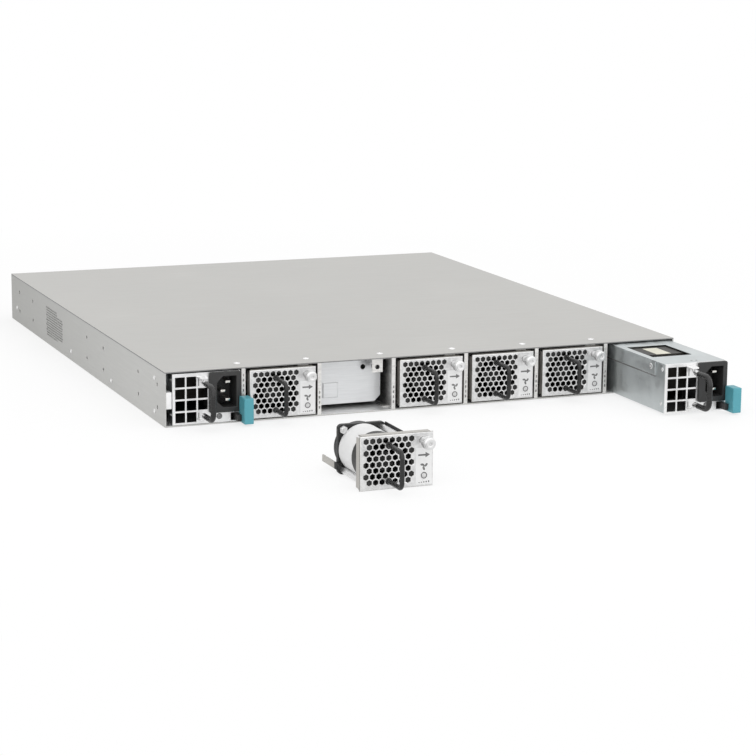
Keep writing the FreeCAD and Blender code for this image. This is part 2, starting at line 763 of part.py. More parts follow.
def fan_modules():
    """Five fan modules: four in their bays, the empty bay's one standing in front on the surface."""
    pieces = (
        ("face_plate", fan_face_plate(), "0", "0"),
        ("handle", fan_handle(), FAN_AXIS_X, "0"),
        ("frame", fan_frame(), FAN_AXIS_X, FAN_AXIS_Z),
        ("rotor", fan_rotor(), FAN_AXIS_X, FAN_AXIS_Z),
        ("thumbscrew", thumbscrew(), THUMB_X, "thumb_height"))
    for bay in BAYS:
        x, y, z = bay_x(bay), f"{REAR} - plate_proud", "0"
        if bay == EMPTY_BAY:
            x, y, z = f"{x} - loose_left", f"{y} - loose_forward", "-plate_bottom"
        for name, body, right, up in pieces:
            instance(f"fan_{bay}_{name}", body, f"{x} + {right}", y, f"{z} + {up}")


def supply_case():
    """Lower shell of a supply: floor, sides, inner end with the tongue's slot, board rails and latch pin."""
    body = shape_body("supply_case_shape")
    outer = f"({SUPPLY_HALF} - supply_sheet)"
    inner = f"({SUPPLY_HALF} - 2 * supply_sheet)"
    top = f"({SUPPLY_TOP} - supply_sheet)"
    floor_top = f"({SUPPLY_BOTTOM} + supply_sheet)"
    shell = face_sketch(body, "face_sheet")
    chain(shell, [
        (f"-{outer}", SUPPLY_BOTTOM), (outer, SUPPLY_BOTTOM), (outer, top), (inner, top),
        (inner, floor_top), (f"-{inner}", floor_top), (f"-{inner}", top), (f"-{outer}", top)])
    pad(shell, "supply_length - face_sheet", inward=True)
    end = face_sketch(body, "supply_length - supply_sheet")
    rectangle(end, f"-{inner}", inner, floor_top, top)
    rectangle(end, "-tongue_half - seat_gap", "tongue_half + seat_gap", SLOT_LOW, SLOT_HIGH)
    pad(end, "supply_sheet", inward=True)
    rails = plan_sketch(body, floor_top)
    for left, right in ((f"-{inner}", "-tongue_half"), ("tongue_half", inner)):
        rectangle(rails, left, right, "supply_length - 2 * socket_block_depth",
                  "supply_length - socket_block_depth")
        rectangle(rails, left, right, "supply_board_front", "supply_board_front + socket_block_depth")
    pad(rails, f"{TONGUE_HEIGHT} - board_sheet / 2 - {floor_top}")
    pin = pin_outline(plan_sketch(body, floor_top), "lever_pin_radius", "lever_right", "lever_pivot")
    pad(pin, "lever_rise + lever_height + seat_gap")
    return body


def supply_lid():
    """Upper shell of a supply: top with a window, and side flanges that lap over the case."""
    body = shape_body("supply_lid_shape")
    inner = f"({SUPPLY_HALF} - supply_sheet)"
    under = f"({SUPPLY_TOP} - supply_sheet)"
    plate = face_sketch(body, "face_sheet")
    rectangle(plate, f"-{SUPPLY_HALF}", SUPPLY_HALF, under, SUPPLY_TOP)
    pad(plate, "supply_length - face_sheet", inward=True)
    flanges = face_sketch(body, "lid_setback")
    for left, right in ((f"-{SUPPLY_HALF}", f"-{inner}"), (inner, SUPPLY_HALF)):
        rectangle(flanges, left, right, f"{SUPPLY_TOP} - lid_flange", under)
    pad(flanges, "supply_length - lid_setback", inward=True)
    window = plan_sketch(body)
    window_left = f"(-{SUPPLY_HALF} + window_left)"
    rectangle(window, window_left, f"{window_left} + window_width",
              "window_front", "window_front + window_length")
    cut_through(window)
    return body


def supply_face_plate():
    """Face of a supply: square grille, openings for inlet and latch, and two ears that carry the bail."""
    body = shape_body("supply_plate_shape")
    blank = face_sketch(body)
    rectangle(blank, f"-{SUPPLY_HALF}", SUPPLY_HALF, SUPPLY_BOTTOM, SUPPLY_TOP)
    rectangle(blank, f"{SUPPLY_HALF} - inlet_width + inlet_step", f"{SUPPLY_HALF} - inlet_step",
              f"{SUPPLY_BOTTOM} + inlet_low + inlet_step", f"{SUPPLY_TOP} - inlet_step")
    slot_low = f"({SUPPLY_BOTTOM} + supply_sheet)"
    rectangle(blank, "lever_right - lever_width / 2 - lever_slot", f"{SUPPLY_HALF} - face_sheet",
              slot_low, f"{slot_low} + lever_rise + lever_height + seat_gap")
    pad(blank, "face_sheet", inward=True)
    cell = face_sketch(body)
    cell_left = f"(-{SUPPLY_HALF} + cell_left)"
    cell_low = f"({SUPPLY_BOTTOM} + cell_low)"
    rectangle(cell, cell_left, f"{cell_left} + cell_width", cell_low, f"{cell_low} + cell_height")
    repeat(cut_through(cell), "cell_pitch_across", 2, "cell_pitch_up", 4)
    between_ears = face_sketch(body)
    last_left = f"({cell_left} + 2 * cell_pitch_across)"
    for row in (1, 2):
        row_low = f"({cell_low} + {row} * cell_pitch_up)"
        rectangle(between_ears, last_left, f"{last_left} + cell_width", row_low, f"{row_low} + cell_height")
    cut_through(between_ears)
    upper = f"({BAIL_HIGH} + bail_radius + ear_clear)"
    lower = "(bail_low - bail_radius - ear_clear - ear_sheet)"
    root = "(ear_width / 2 + ear_sheet)"
    tip = "ear_width / 2"
    for low in (lower, upper):
        ear = plan_sketch(body, low)
        chain(ear, [
            (f"{BAIL_X} - {tip}", "-ear_reach"), (f"{BAIL_X} + {tip}", "-ear_reach"),
            (f"{BAIL_X} + {root}", "0"), (f"{BAIL_X} + {root}", "face_sheet"),
            (f"{BAIL_X} - {root}", "face_sheet"), (f"{BAIL_X} - {root}", "0")])
        hole_outline(ear, "bail_wire_radius + pivot_gap", BAIL_X, "-bail_stand")
        pad(ear, "ear_sheet")
    return body


def supply_inlet():
    """Mains inlet: collar in front of the face plate, body behind it and the three-pin socket."""
    body = shape_body("inlet_shape")
    left = f"({SUPPLY_HALF} - inlet_width)"
    low = f"({SUPPLY_BOTTOM} + inlet_low)"
    collar = face_sketch(body, "-inlet_proud")
    rectangle(collar, left, SUPPLY_HALF, low, SUPPLY_TOP)
    pad(collar, "inlet_proud", inward=True)
    rear = face_sketch(body)
    inset = "(inlet_step + seat_gap)"
    rectangle(rear, f"{left} + {inset}", f"{SUPPLY_HALF} - {inset}",
              f"{low} + {inset}", f"{SUPPLY_TOP} - {inset}")
    pad(rear, "inlet_body_depth", inward=True)
    socket = face_sketch(body, "-inlet_proud")
    near = f"({left} + socket_left)"
    far = f"({near} + socket_width)"
    base = f"({low} + socket_low)"
    high = f"({base} + socket_height)"
    chain(socket, [
        (f"{near} + socket_corner", base), (far, base), (far, high), (f"{near} + socket_corner", high),
        (near, f"{high} - socket_corner"), (near, f"{base} + socket_corner")])
    pocket(socket, "socket_depth")
    return body


def supply_inlet_pins():
    """Three flat pins that stand on the socket's floor, the middle one set aside."""
    body = shape_body("inlet_pins_shape")
    centre_x = f"({SUPPLY_HALF} - inlet_width + socket_left + socket_width / 2)"
    centre_z = f"({SUPPLY_BOTTOM} + inlet_low + socket_low + socket_height / 2)"
    pins = face_sketch(body, "socket_depth - inlet_proud")
    for step, sign in ((-1, "+"), (0, "-"), (1, "+")):
        x = f"{centre_x} {sign} pin_offset / 2"
        z = f"{centre_z} + {step} * pin_pitch"
        rectangle(pins, f"{x} - pin_width / 2", f"{x} + pin_width / 2",
                  f"{z} - pin_thick / 2", f"{z} + pin_thick / 2")
    pad(pins, "pin_length")
    return body


def supply_bail():
    """Wire bail with a thick sleeve; its two bent ends turn in the ears of the face plate."""
    body = shape_body("bail_shape")
    bend = "(bail_reach - bail_corner)"
    bar_along(body, [
        ("-bail_sleeve_start", BAIL_HIGH), (f"-{bend}", BAIL_HIGH),
        ("-bail_reach", f"{BAIL_HIGH} - bail_corner"), ("-bail_reach", "bail_low + bail_corner"),
        (f"-{bend}", "bail_low"), ("-bail_sleeve_start", "bail_low")], "bail_radius")
    arms = face_sketch(body, "-bail_sleeve_start")
    for z in ("bail_low", BAIL_HIGH):
        pin_outline(arms, "bail_wire_radius", y=z)
    pad(arms, "bail_sleeve_start - bail_stand", inward=True)
    stub = "(bail_radius + 2 * ear_clear + ear_sheet)"
    for z in (BAIL_HIGH, f"(bail_low - {stub})"):
        pad(pin_outline(plan_sketch(body, z), "bail_wire_radius", "0", "-bail_stand"), stub)
    return body


def supply_latch():
    """Sprung lever on a pin of the case; its foot reaches out to the tab."""
    body = shape_body("latch_shape")
    left = "(lever_right - lever_width / 2)"
    right = "(lever_right + lever_width / 2)"
    foot_right = f"({SUPPLY_HALF} + tab_overhang - tab_width)"
    foot_front = "(-tab_back - 2 * lever_width)"
    lever = plan_sketch(body, f"{SUPPLY_BOTTOM} + supply_sheet + lever_rise")
    chain(lever, [
        (left, foot_front), (foot_right, foot_front), (foot_right, "-tab_back"), (right, "0"),
        (right, "lever_pivot + lever_tail"), (left, "lever_pivot + lever_tail")])
    hole_outline(lever, "lever_pin_radius + pivot_gap", "lever_right", "lever_pivot")
    pad(lever, "lever_height")
    return body


def supply_tab():
    """Coloured release tab beside the inlet."""
    body = shape_body("tab_shape")
    right = f"({SUPPLY_HALF} + tab_overhang)"
    tab = face_sketch(body, "-tab_front")
    rectangle(tab, f"{right} - tab_width", right, SUPPLY_BOTTOM, f"{SUPPLY_BOTTOM} + tab_height")
    pad(tab, "tab_front - tab_back", inward=True)
    return body


def supply_board():
    """Circuit board of a supply with its edge tongue and the tall potted coil under the window."""
    body = shape_body("supply_board_shape")
    back = "(supply_length - supply_sheet - seat_gap)"
    tip = "(supply_length + tongue_length)"
    wide = "supply_board_half"
    board = plan_sketch(body, f"{TONGUE_HEIGHT} - board_sheet / 2")
    chain(board, [
        (f"-{wide}", "supply_board_front"), (wide, "supply_board_front"), (wide, back),
        ("tongue_half", back), ("tongue_half", tip), ("-tongue_half", tip),
        ("-tongue_half", back), (f"-{wide}", back)])
    pad(board, "board_sheet")
    coil = plan_sketch(body, f"{TONGUE_HEIGHT} + board_sheet / 2")
    rectangle(coil, f"-{wide} + 2 * board_sheet", f"{wide} - 2 * board_sheet",
              "coil_front", "window_front + window_length + socket_wall")
    pad(coil, f"{SUPPLY_TOP} - 2 * supply_sheet - {TONGUE_HEIGHT} - board_sheet / 2")
    return body


def power_supplies():
    """Two alike supplies: the left one is home, the right one is drawn part-way out."""
    pieces = (
        ("case", supply_case(), "0"),
        ("lid", supply_lid(), "0"),
        ("face_plate", supply_face_plate(), "0"),
        ("inlet", supply_inlet(), "0"),
        ("inlet_pins", supply_inlet_pins(), "0"),
        ("bail", supply_bail(), BAIL_X),
        ("latch", supply_latch(), "0"),
        ("tab", supply_tab(), "0"),
        ("board", supply_board(), "0"))
    for side, x, drawn in (("left", SUPPLY_LEFT_X, "0"), ("right", SUPPLY_RIGHT_X, "supply_drawn")):
        for name, body, right in pieces:
            instance(f"supply_{side}_{name}", body, f"{x} + {right}", f"{REAR} - {drawn}")


def front_panel():
    """Port-side plate with openings for the cages and jacks and a row of air slots."""
    body = node_body("front_panel")
    plate = face_sketch(body, "chassis_depth / 2 - panel_sheet")
    side = f"({INNER_HALF} - seat_gap)"
    rectangle(plate, f"-{side}", side, FLOOR, CEILING)
    for inset, width, height in (("cage_left_inset", CAGE_WIDTH, CAGE_HEIGHT),
                                 ("jack_left_inset", JACK_BLOCK_WIDTH, JACK_BLOCK_HEIGHT)):
        left = f"({inset} - chassis_width / 2 - seat_gap)"
        rectangle(plate, left, f"{left} + {width} + 2 * seat_gap",
                  BOARD_TOP, f"{BOARD_TOP} + {height} + seat_gap")
    pad(plate, "panel_sheet", inward=True)
    slot = face_sketch(body)
    slot_left = "(vent_left_inset - chassis_width / 2)"
    rectangle(slot, slot_left, f"{slot_left} + vent_width", "vent_low", "vent_low + vent_height")
    repeat(cut_through(slot), "vent_pitch", VENTS)


def port_cages():
    """Two-row cage for plug-in transceivers and a block of two jacks, both standing on the board."""
    body = node_body("port_cages")
    front = "(chassis_depth / 2 + cage_proud)"
    for inset, width, height, depth in (
            ("cage_left_inset", CAGE_WIDTH, CAGE_HEIGHT, "cage_depth"),
            ("jack_left_inset", JACK_BLOCK_WIDTH, JACK_BLOCK_HEIGHT, "jack_depth")):
        left = f"({inset} - chassis_width / 2)"
        block = face_sketch(body, front)
        rectangle(block, left, f"{left} + {width}", BOARD_TOP, f"{BOARD_TOP} + {height}")
        pad(block, depth)
    port_left = "(cage_left_inset - chassis_width / 2 + port_wall)"
    port_low = f"({BOARD_TOP} + port_wall)"
    port = face_sketch(body, front)
    rectangle(port, port_left, f"{port_left} + port_width", port_low, f"{port_low} + port_height")
    repeat(pocket(port, "cage_depth - port_wall", outward=True),
           "port_width + port_wall", PORT_COLUMNS, "port_height + port_row_gap", PORT_ROWS)
    jack_left = "(jack_left_inset - chassis_width / 2 + jack_wall)"
    jack_low = f"({BOARD_TOP} + jack_wall)"
    jack = face_sketch(body, front)
    rectangle(jack, jack_left, f"{jack_left} + jack_width", jack_low, f"{jack_low} + jack_height")
    repeat(pocket(jack, "jack_depth - jack_wall", outward=True), "jack_width + jack_wall", JACKS)


def main_board():
    """Switch board on the tray's posts, with a neck that reaches in behind the fan bays."""
    body = node_body("main_board")
    wide = f"({INNER_HALF} - board_side_gap)"
    rear = f"({REAR} + board_rear_inset)"
    front = "(chassis_depth / 2 - panel_sheet - board_panel_gap)"
    board = plan_sketch(body, f"{FLOOR} + board_rise")
    chain(board, [
        ("-board_neck_half", rear), ("board_neck_half", rear), ("board_neck_half", SUPPLY_SOCKET_Y),
        (wide, SUPPLY_SOCKET_Y), (wide, front), (f"-{wide}", front), (f"-{wide}", SUPPLY_SOCKET_Y),
        ("-board_neck_half", SUPPLY_SOCKET_Y)])
    pad(board, "board_sheet")
    chip = plan_sketch(body, BOARD_TOP)
    rectangle(chip, "-chip_side / 2", "chip_side / 2",
              "chip_forward - chip_side / 2", "chip_forward + chip_side / 2")
    pad(chip, "chip_height")


def heat_sink():
    """Finned cooler on the switch chip."""
    body = node_body("heat_sink")
    bottom = f"({BOARD_TOP} + chip_height)"
    rear = "(chip_forward - sink_depth / 2)"
    front = "(chip_forward + sink_depth / 2)"
    base = plan_sketch(body, bottom)
    rectangle(base, "-sink_width / 2", "sink_width / 2", rear, front)
    pad(base, "sink_base")
    fin = plan_sketch(body, f"{bottom} + sink_base")
    rectangle(fin, "-sink_width / 2", "-sink_width / 2 + fin_sheet", rear, front)
    repeat(pad(fin, "sink_height - sink_base"), f"(sink_width - fin_sheet) / {FINS - 1}", FINS)


def bay_connectors():
    """Sockets on the board: one for each supply's tongue and one for each fan module's plug arm."""
    body = node_body("bay_connectors")
    top = f"{BOARD_TOP} + socket_block_height"
    slot_half = "(tongue_half + seat_gap)"
    half = f"({slot_half} + socket_wall)"
    supply_blocks = face_sketch(body, SUPPLY_SOCKET_Y)
    for x in (SUPPLY_LEFT_X, SUPPLY_RIGHT_X):
        rectangle(supply_blocks, f"{x} - {half}", f"{x} + {half}", BOARD_TOP, top)
        rectangle(supply_blocks, f"{x} - {slot_half}", f"{x} + {slot_half}", SLOT_LOW, SLOT_HIGH)
    pad(supply_blocks, "socket_block_depth", inward=True)
    arm_end = f"({REAR} - plate_proud + {FLANGE_FRONT} + fan_flange + arm_length)"
    arm_half = "(arm_sheet / 2 + seat_gap)"
    outer = f"({arm_half} + socket_wall)"
    jaws = face_sketch(body, f"{arm_end} - socket_wall")
    backs = face_sketch(body, f"{arm_end} + seat_gap")
    for bay in BAYS:
        x = f"({bay_x(bay)} + {ARM_LEFT} + arm_sheet / 2)"
        rectangle(jaws, f"{x} - {outer}", f"{x} - {arm_half}", BOARD_TOP, top)
        rectangle(jaws, f"{x} + {arm_half}", f"{x} + {outer}", BOARD_TOP, top)
        rectangle(backs, f"{x} - {outer}", f"{x} + {outer}", BOARD_TOP, top)
    pad(jaws, "socket_wall + seat_gap", inward=True)
    pad(backs, "socket_wall", inward=True)


chassis_base()
top_cover()
cover_screws()
bay_dividers()
bay_flaps()
fan_modules()
power_supplies()
front_panel()
port_cages()
main_board()
heat_sink()
bay_connectors()
doc.recompute()

for item in doc.Objects:
    if "Invalid" in item.State or "Error" in item.State:
        raise RuntimeError(f"{item.Label} did not build: {item.State}")
for node in nodes:
    if node.Shape.isNull() or not node.Shape.isValid():
        raise RuntimeError(f"{node.Label} has no valid shape")

os.makedirs("parts", exist_ok=True)
for node in nodes:
    node.Shape.exportStep(f"parts/{node.Label}.step")
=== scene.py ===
import json
import math

import bmesh
import bpy
from mathutils import Matrix, Vector

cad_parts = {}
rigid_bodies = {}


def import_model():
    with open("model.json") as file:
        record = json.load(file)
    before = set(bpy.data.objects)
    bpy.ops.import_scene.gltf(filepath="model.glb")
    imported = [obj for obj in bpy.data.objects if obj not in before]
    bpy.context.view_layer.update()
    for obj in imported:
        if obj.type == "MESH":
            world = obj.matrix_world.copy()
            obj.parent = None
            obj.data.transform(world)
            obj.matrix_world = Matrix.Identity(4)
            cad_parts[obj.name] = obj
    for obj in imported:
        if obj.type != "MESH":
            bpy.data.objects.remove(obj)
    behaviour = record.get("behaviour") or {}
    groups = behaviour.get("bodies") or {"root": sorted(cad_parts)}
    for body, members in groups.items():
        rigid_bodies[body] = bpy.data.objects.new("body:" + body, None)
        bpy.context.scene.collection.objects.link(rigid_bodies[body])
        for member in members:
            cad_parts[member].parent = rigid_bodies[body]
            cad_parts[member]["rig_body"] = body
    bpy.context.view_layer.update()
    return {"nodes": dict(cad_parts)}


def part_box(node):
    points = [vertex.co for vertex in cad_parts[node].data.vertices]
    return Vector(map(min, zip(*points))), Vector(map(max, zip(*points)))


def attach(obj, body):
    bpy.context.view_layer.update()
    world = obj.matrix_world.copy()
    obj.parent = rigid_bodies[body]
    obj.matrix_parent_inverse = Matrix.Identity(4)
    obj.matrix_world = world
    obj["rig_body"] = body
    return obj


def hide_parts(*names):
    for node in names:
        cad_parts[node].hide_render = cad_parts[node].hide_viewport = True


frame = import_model()

# Sizes are in millimetres and become metres by MM.
MM = 0.001
X_AXIS = Vector((1, 0, 0))
Y_AXIS = Vector((0, 1, 0))
Z_AXIS = Vector((0, 0, 1))
QUARTER = math.pi / 2
BAYS = (1, 2, 3, 4, 5)
DIVIDERS = (1, 2, 3, 4, 5, 6)
SIDES = ("left", "right")

# Metres within which points of a form, corners of a solid, and a corner and a plane count as one.
SAME_POINT = 1e-7
SAME_CORNER = 2e-6
TOUCH = 1e-5

# Angles: what lies in one flat, what is sharp enough to be rounded, and what is shaded smooth.
SAME_FLAT = 0.01
SHARP_ABOVE = math.radians(25)
SMOOTH_BELOW = math.radians(38)

# Sheet faces larger than this, in square metres, are shaded flat.
FLAT_ABOVE = 30e-6

# Share of a face's normal along an axis: it leans that way, stands across, or lies square to it.
LEANS = 0.3
ACROSS = 0.5
SQUARE = 0.9

# The solids' bars have eight sides, and measure this share of their corners' width across the flats.
EIGHT_FLATS = math.cos(math.pi / 8)

# Steps in each bend of a round bar.
BEND_STEPS = 8

# Prints: thickness of film and ink, height of a bare print, and how deep each is let into its ground.
FILM = 0.06
PRINT = 0.05
LET_IN = 0.02

# Plate of a fan module: depth and radius of its folded rim, sheet at the grille, width of its edges.
RIM_DEPTH = 7.0
FOLD_RADIUS = 0.8
GRILLE_SHEET = 0.5
PLATE_EDGE = 0.13

# Plug arm of that plate: free length behind the fan's flange, and thickness of its foot before it.
ARM_FREE = 24.0
ARM_FOOT = 1.3

# Legend beside the grille, from the lower left corner of the plate: film, and heights of its marks.
LEGEND_LEFT = 41.5
LEGEND_RIGHT = 53.5
LEGEND_LOW = 1.6
LEGEND_HIGH = 27.4
LEGEND_MIDDLE = 47.6
ARROW_HEIGHT = 22.3
PROPELLER_HEIGHT = 14.4
LAMP_HEIGHT = 7.8
BARS_HEIGHT = 2.6

# Handle of a fan module: radius as a share of the solid's across the flats, bends, profile of a foot.
HANDLE_COAT = 1.06
HANDLE_BEND = 4.6
HANDLE_FOOT = ((0, 0), (2.5, 0), (2.4, 0.5), (1.9, 0.8), (0, 0.8))

# Knob of a thumbscrew: its knurl's corners, each second one drawn in, and depths from its front.
KNURL_RADIUS = 4.6
KNURL_CORNERS = 56
KNURL_DIP = 0.95
KNURL_FRONT = 2.0
KNURL_BACK = 6.4
KNOB_BACK = 8.0

# Fan housing: radii about its axis, depths from the end of its collar, and its spokes.
BARREL_LENGTH = 52.7
COLLAR_DEPTH = 12.0
BARREL_RADIUS = 17.7
BARREL_BORE = 16.9
BARREL_LIP = 0.4
PLATE_BORE = 16.95
FLANGE_FRONT = 10.0
FLANGE_BACK = 6.0
FLANGE_CORNER = 3.2
FAN_HALF = 18.0
FAN_HOLE = 14.5
CHEEK_INNER = 17.1
WRAP_LENGTH = 24.5
WRAP_INNER = 17.6
WRAP_OUTER = 17.8
WRAP_GAP = 0.4
HUB_RADIUS = 6.0
HUB_BORE = 1.6
HUB_DEPTH = 6
HUB_LIP = 0.4
SPOKE_START = 5.4
SPOKE_END = 17.0
STRUTS = 3
STRUT_HALF = 1.3
STRUT_DEPTH = 3
GUIDE_VANES = 11
VANE_HALF = 0.5
VANE_DEPTH = 24

# Plate behind the grille: its sides about the fan's axis, and depths from the front of the housing.
RIM_PLATE_LEFT = -19.9
RIM_PLATE_RIGHT = 19.2
RIM_PLATE_LOW = -16.7
RIM_PLATE_HIGH = 19.2
RIM_PLATE_FRONT = -0.25
RIM_PLATE_BACK = 4.4
RIM_PLATE_CORNER = 2.0

# Bolts of the flange: corner radius and height of the nut before it and of the head behind it.
NUT_RADIUS = 3.0
NUT_HEIGHT = 1.7
HEAD_RADIUS = 2.9
HEAD_HEIGHT = 2.2

# Supply: sheet of its face, radius of its inlet's corners, and how deep inside its case the painted
# shade starts.
FACE_SHEET = 1.0
INLET_CORNER = 1.6
SHADE_WITHIN = 0.5

# Trim of a supply, from the left side of its lid, its face and the underside of the chassis. The height
# of its label is counted from the top of the coil.
LABEL_LOW = Vector((18.0, 47.5, -0.05))
LABEL_HIGH = Vector((31.0, 72.0, 0.2))
LABEL_EDGE = 0.08
SLIT_LEFT = 20.6
SLIT_RIGHT = 21.4
SLIT_FEET = ((30.9, 7.4), (3.9, 6.1))
LID_SETBACK = 17.0
# Painted shadow under each flange of the lid: height of the dark strip, how far it stands out and how
# far it is sunk.
SHADOW_LINE_HEIGHT = 1.2
SHADOW_LINE_STANDS = 0.2
SHADOW_LINE_SUNK = 0.05
LID_SCREW = (24.0, 35.8)
CASE_SCREWS = ((6.5, 36.0), (7.0, 8.4))
DOTS_ACROSS = (27.5, 32.0)
DOTS_BACK = 8.0
DOT_RADIUS = 0.9
SUPPLY_LAMP_ACROSS = 37.5
SUPPLY_LAMP_HEIGHT = 6.1

# Status lamps: profiles of the ring and the lens, as distances from the axis and along it.
FAN_RING = ((2.3, 0), (2.3, 0.35), (2.05, 0.5), (1.75, 0.3), (1.75, 0))
FAN_LENS = ((0, 0), (1.75, 0), (1.65, 0.2), (1.0, 0.42), (0, 0.5))
SUPPLY_RING = ((2.3, 0), (2.3, 0.3), (2.1, 0.45), (1.8, 0.25), (1.8, 0))
SUPPLY_LENS = ((0, 0), (1.8, 0), (1.7, 0.25), (1.0, 0.5), (0, 0.6))

# Bail of a supply: corner radii of its sleeve and wire, lengths along it, and radii of its bends.
BAIL_SLEEVE = 2.3
BAIL_WIRE = 1.25
BAIL_STUB = 4.3
BAIL_FERRULE = 5.0
BAIL_NECK = 3.2
BAIL_BEND = 7.0
BAIL_HOOK = 1.6
SLEEVE_SLACK = 0.1
WIRE_INSIDE = 1.0

# Tapped hole in a divider's lug: axis from the strip's right edge and the underside, rim, back and nut.
LUG_HOLE_LEFT = 13.7
LUG_HOLE_HEIGHT = 35.0
LUG_HOLE_RIM = 2.4
LUG_BACK = 5.5
LUG_NUT = ((0, 4.5), (3.2, 4.5), (3.2, 0), (1.9, 0), (1.9, 3.8), (0, 3.8))

# Bars printed on a divider's strip: foot of the lowest, pitch and height, and ends from the right edge.
BARS = 4
BARS_FOOT = 6.0
BARS_FOOT_OVER_TAB = 24.0
BAR_PITCH = 4.0
BAR_HEIGHT = 2.0
BAR_LEFT = 2.2
BAR_RIGHT = 1.1
BAR_STAGGER = 0.3

# Cover: its sheet, and shift of its screws to the left of their dividers.
COVER_SHEET = 1.0
COVER_SCREW_SHIFT = 5.6

# Tray and flap: height below which level faces are the tray's floor, and radius of the flap's bump.
FLOOR_BELOW = 2
BUMP_RADIUS = 0.7

# Nylon tip beside the left supply, from the outside of the wall, the service edge and the underside.
GUIDE_LOW = Vector((1.05, 0.3, 14.2))
GUIDE_HIGH = Vector((5.55, 9.0, 27.2))

# Honeycomb vent in the left wall, measured from the service edge and the underside.
VENT_CELL = 0.9
VENT_PITCH = 2.6
VENT_ROWS = 12
VENT_LONG_ROWS = range(1, 10)
VENT_LOW = 8.6
VENT_START = 314.5
VENT_SHORT_START = 334.0
VENT_END = 372.0
VENT_ROD_OUTSIDE = 1.0
VENT_ROD_LENGTH = 3.0

# Rivets in both side walls: depth behind the service edge and height.
RIVETS = ((27.5, 34.0), (27.5, 7.6), (153.0, 7.3), (283.6, 8.2), (487.2, 13.8))

# Lamps of the studio in metres and watts: name, place, aim, size and power.
STUDIO_LAMPS = (("key", (-1.2, -2.2, 1.7), (0, -0.2, 0.02), 4.4, 39),
                ("fill", (1.6, -1.4, 1.2), (0.1, -0.2, 0.02), 3.6, 15),
                ("top", (0.1, 0.3, 2.2), (0, 0, 0), 3.8, 18))

# White surroundings and floor: light they give as a share of plain white, and metres of fade and floor.
AMBIENT = 0.62
FLOOR_GLOW = 0.72
FLOOR_FADE = (0.35, 0.85)
FLOOR_HALF = 6.0
FLOOR_DROP = 0.0004

# Camera: place in metres, azimuth, elevation and roll in degrees, and lens.
CAMERA_PLACE = (-0.7139, -1.9085, 0.3913)
CAMERA_ANGLES = (-22.032, 11.541, 0.523)
CAMERA_LENS = 109.68
CAMERA_SENSOR = 36.0
CAMERA_FAR = 50.0


def tree_of(name):
    """A new material with its node tree and its principled shader."""
    material = bpy.data.materials.new(name)
    material.use_nodes = True
    tree = material.node_tree
    return material, tree, tree.nodes["Principled BSDF"]


def object_coordinates(tree):
    return tree.nodes.new("ShaderNodeTexCoord").outputs["Object"]


def along_y(tree, vector):
    """The part of a vector along Y."""
    split = tree.nodes.new("ShaderNodeSeparateXYZ")
    tree.links.new(vector, split.inputs["Vector"])
    return split.outputs["Y"]


def noise_on(tree, scale, stretch=(1, 1, 1), detail=4.0):
    """Noise on object coordinates, squeezed by stretch, scale in patterns per metre."""
    mapping = tree.nodes.new("ShaderNodeMapping")
    mapping.inputs["Scale"].default_value = stretch
    noise = tree.nodes.new("ShaderNodeTexNoise")
    noise.inputs["Scale"].default_value = scale
    noise.inputs["Detail"].default_value = detail
    tree.links.new(object_coordinates(tree), mapping.inputs["Vector"])
    tree.links.new(mapping.outputs["Vector"], noise.inputs["Vector"])
    return noise.outputs["Fac"]


def between(tree, factor, low, high, span=(0.3, 0.7)):
    """The factor's span carried over to the range from low to high."""
    node = tree.nodes.new("ShaderNodeMapRange")
    node.inputs["From Min"].default_value = span[0]
    node.inputs["From Max"].default_value = span[1]
    node.inputs["To Min"].default_value = low
    node.inputs["To Max"].default_value = high
    tree.links.new(factor, node.inputs["Value"])
    return node.outputs["Result"]


def two_tones(tree, factor, dark, light, span=(0.3, 0.7)):
    """A colour ramp between two tones."""
    ramp = tree.nodes.new("ShaderNodeValToRGB")
    ramp.color_ramp.elements[0].position = span[0]
    ramp.color_ramp.elements[0].color = (*dark, 1)
    ramp.color_ramp.elements[1].position = span[1]
    ramp.color_ramp.elements[1].color = (*light, 1)
    tree.links.new(factor, ramp.inputs["Fac"])
    return ramp.outputs["Color"]


def blend_of(tree, first, second, share):
    """Two factors laid over each other, share of the second."""
    mix = tree.nodes.new("ShaderNodeMix")
    mix.inputs["Factor"].default_value = share
    tree.links.new(first, mix.inputs["A"])
    tree.links.new(second, mix.inputs["B"])
    return mix.outputs["Result"]


def colour(tree, shader, factor, dark, light):
    """Base colour that wanders between two tones."""
    tree.links.new(two_tones(tree, factor, dark, light), shader.inputs["Base Color"])


def roughen(tree, shader, factor, roughness, below=0.06, above=0.08):
    """Roughness that wanders from below to above the one that is given."""
    uneven = between(tree, factor, roughness - below, roughness + above)
    tree.links.new(uneven, shader.inputs["Roughness"])


def relief(tree, shader, factor, depth):
    """Relief of the given depth in metres."""
    bump = tree.nodes.new("ShaderNodeBump")
    bump.inputs["Distance"].default_value = depth
    tree.links.new(factor, bump.inputs["Height"])
    tree.links.new(bump.outputs["Normal"], shader.inputs["Normal"])


def rolled_sheet(name, dark, light, roughness, grain, metallic=0.85):
    """Plated sheet metal with roll grain along one axis and faint handling marks."""
    material, tree, shader = tree_of(name)
    streaks = noise_on(tree, scale=12, stretch=grain, detail=6)
    cloud = noise_on(tree, scale=14, detail=3)
    colour(tree, shader, blend_of(tree, streaks, cloud, share=0.45), dark, light)
    roughen(tree, shader, cloud, roughness, below=0.05, above=0.07)
    shader.inputs["Metallic"].default_value = metallic
    relief(tree, shader, streaks, depth=0.00002)
    return material


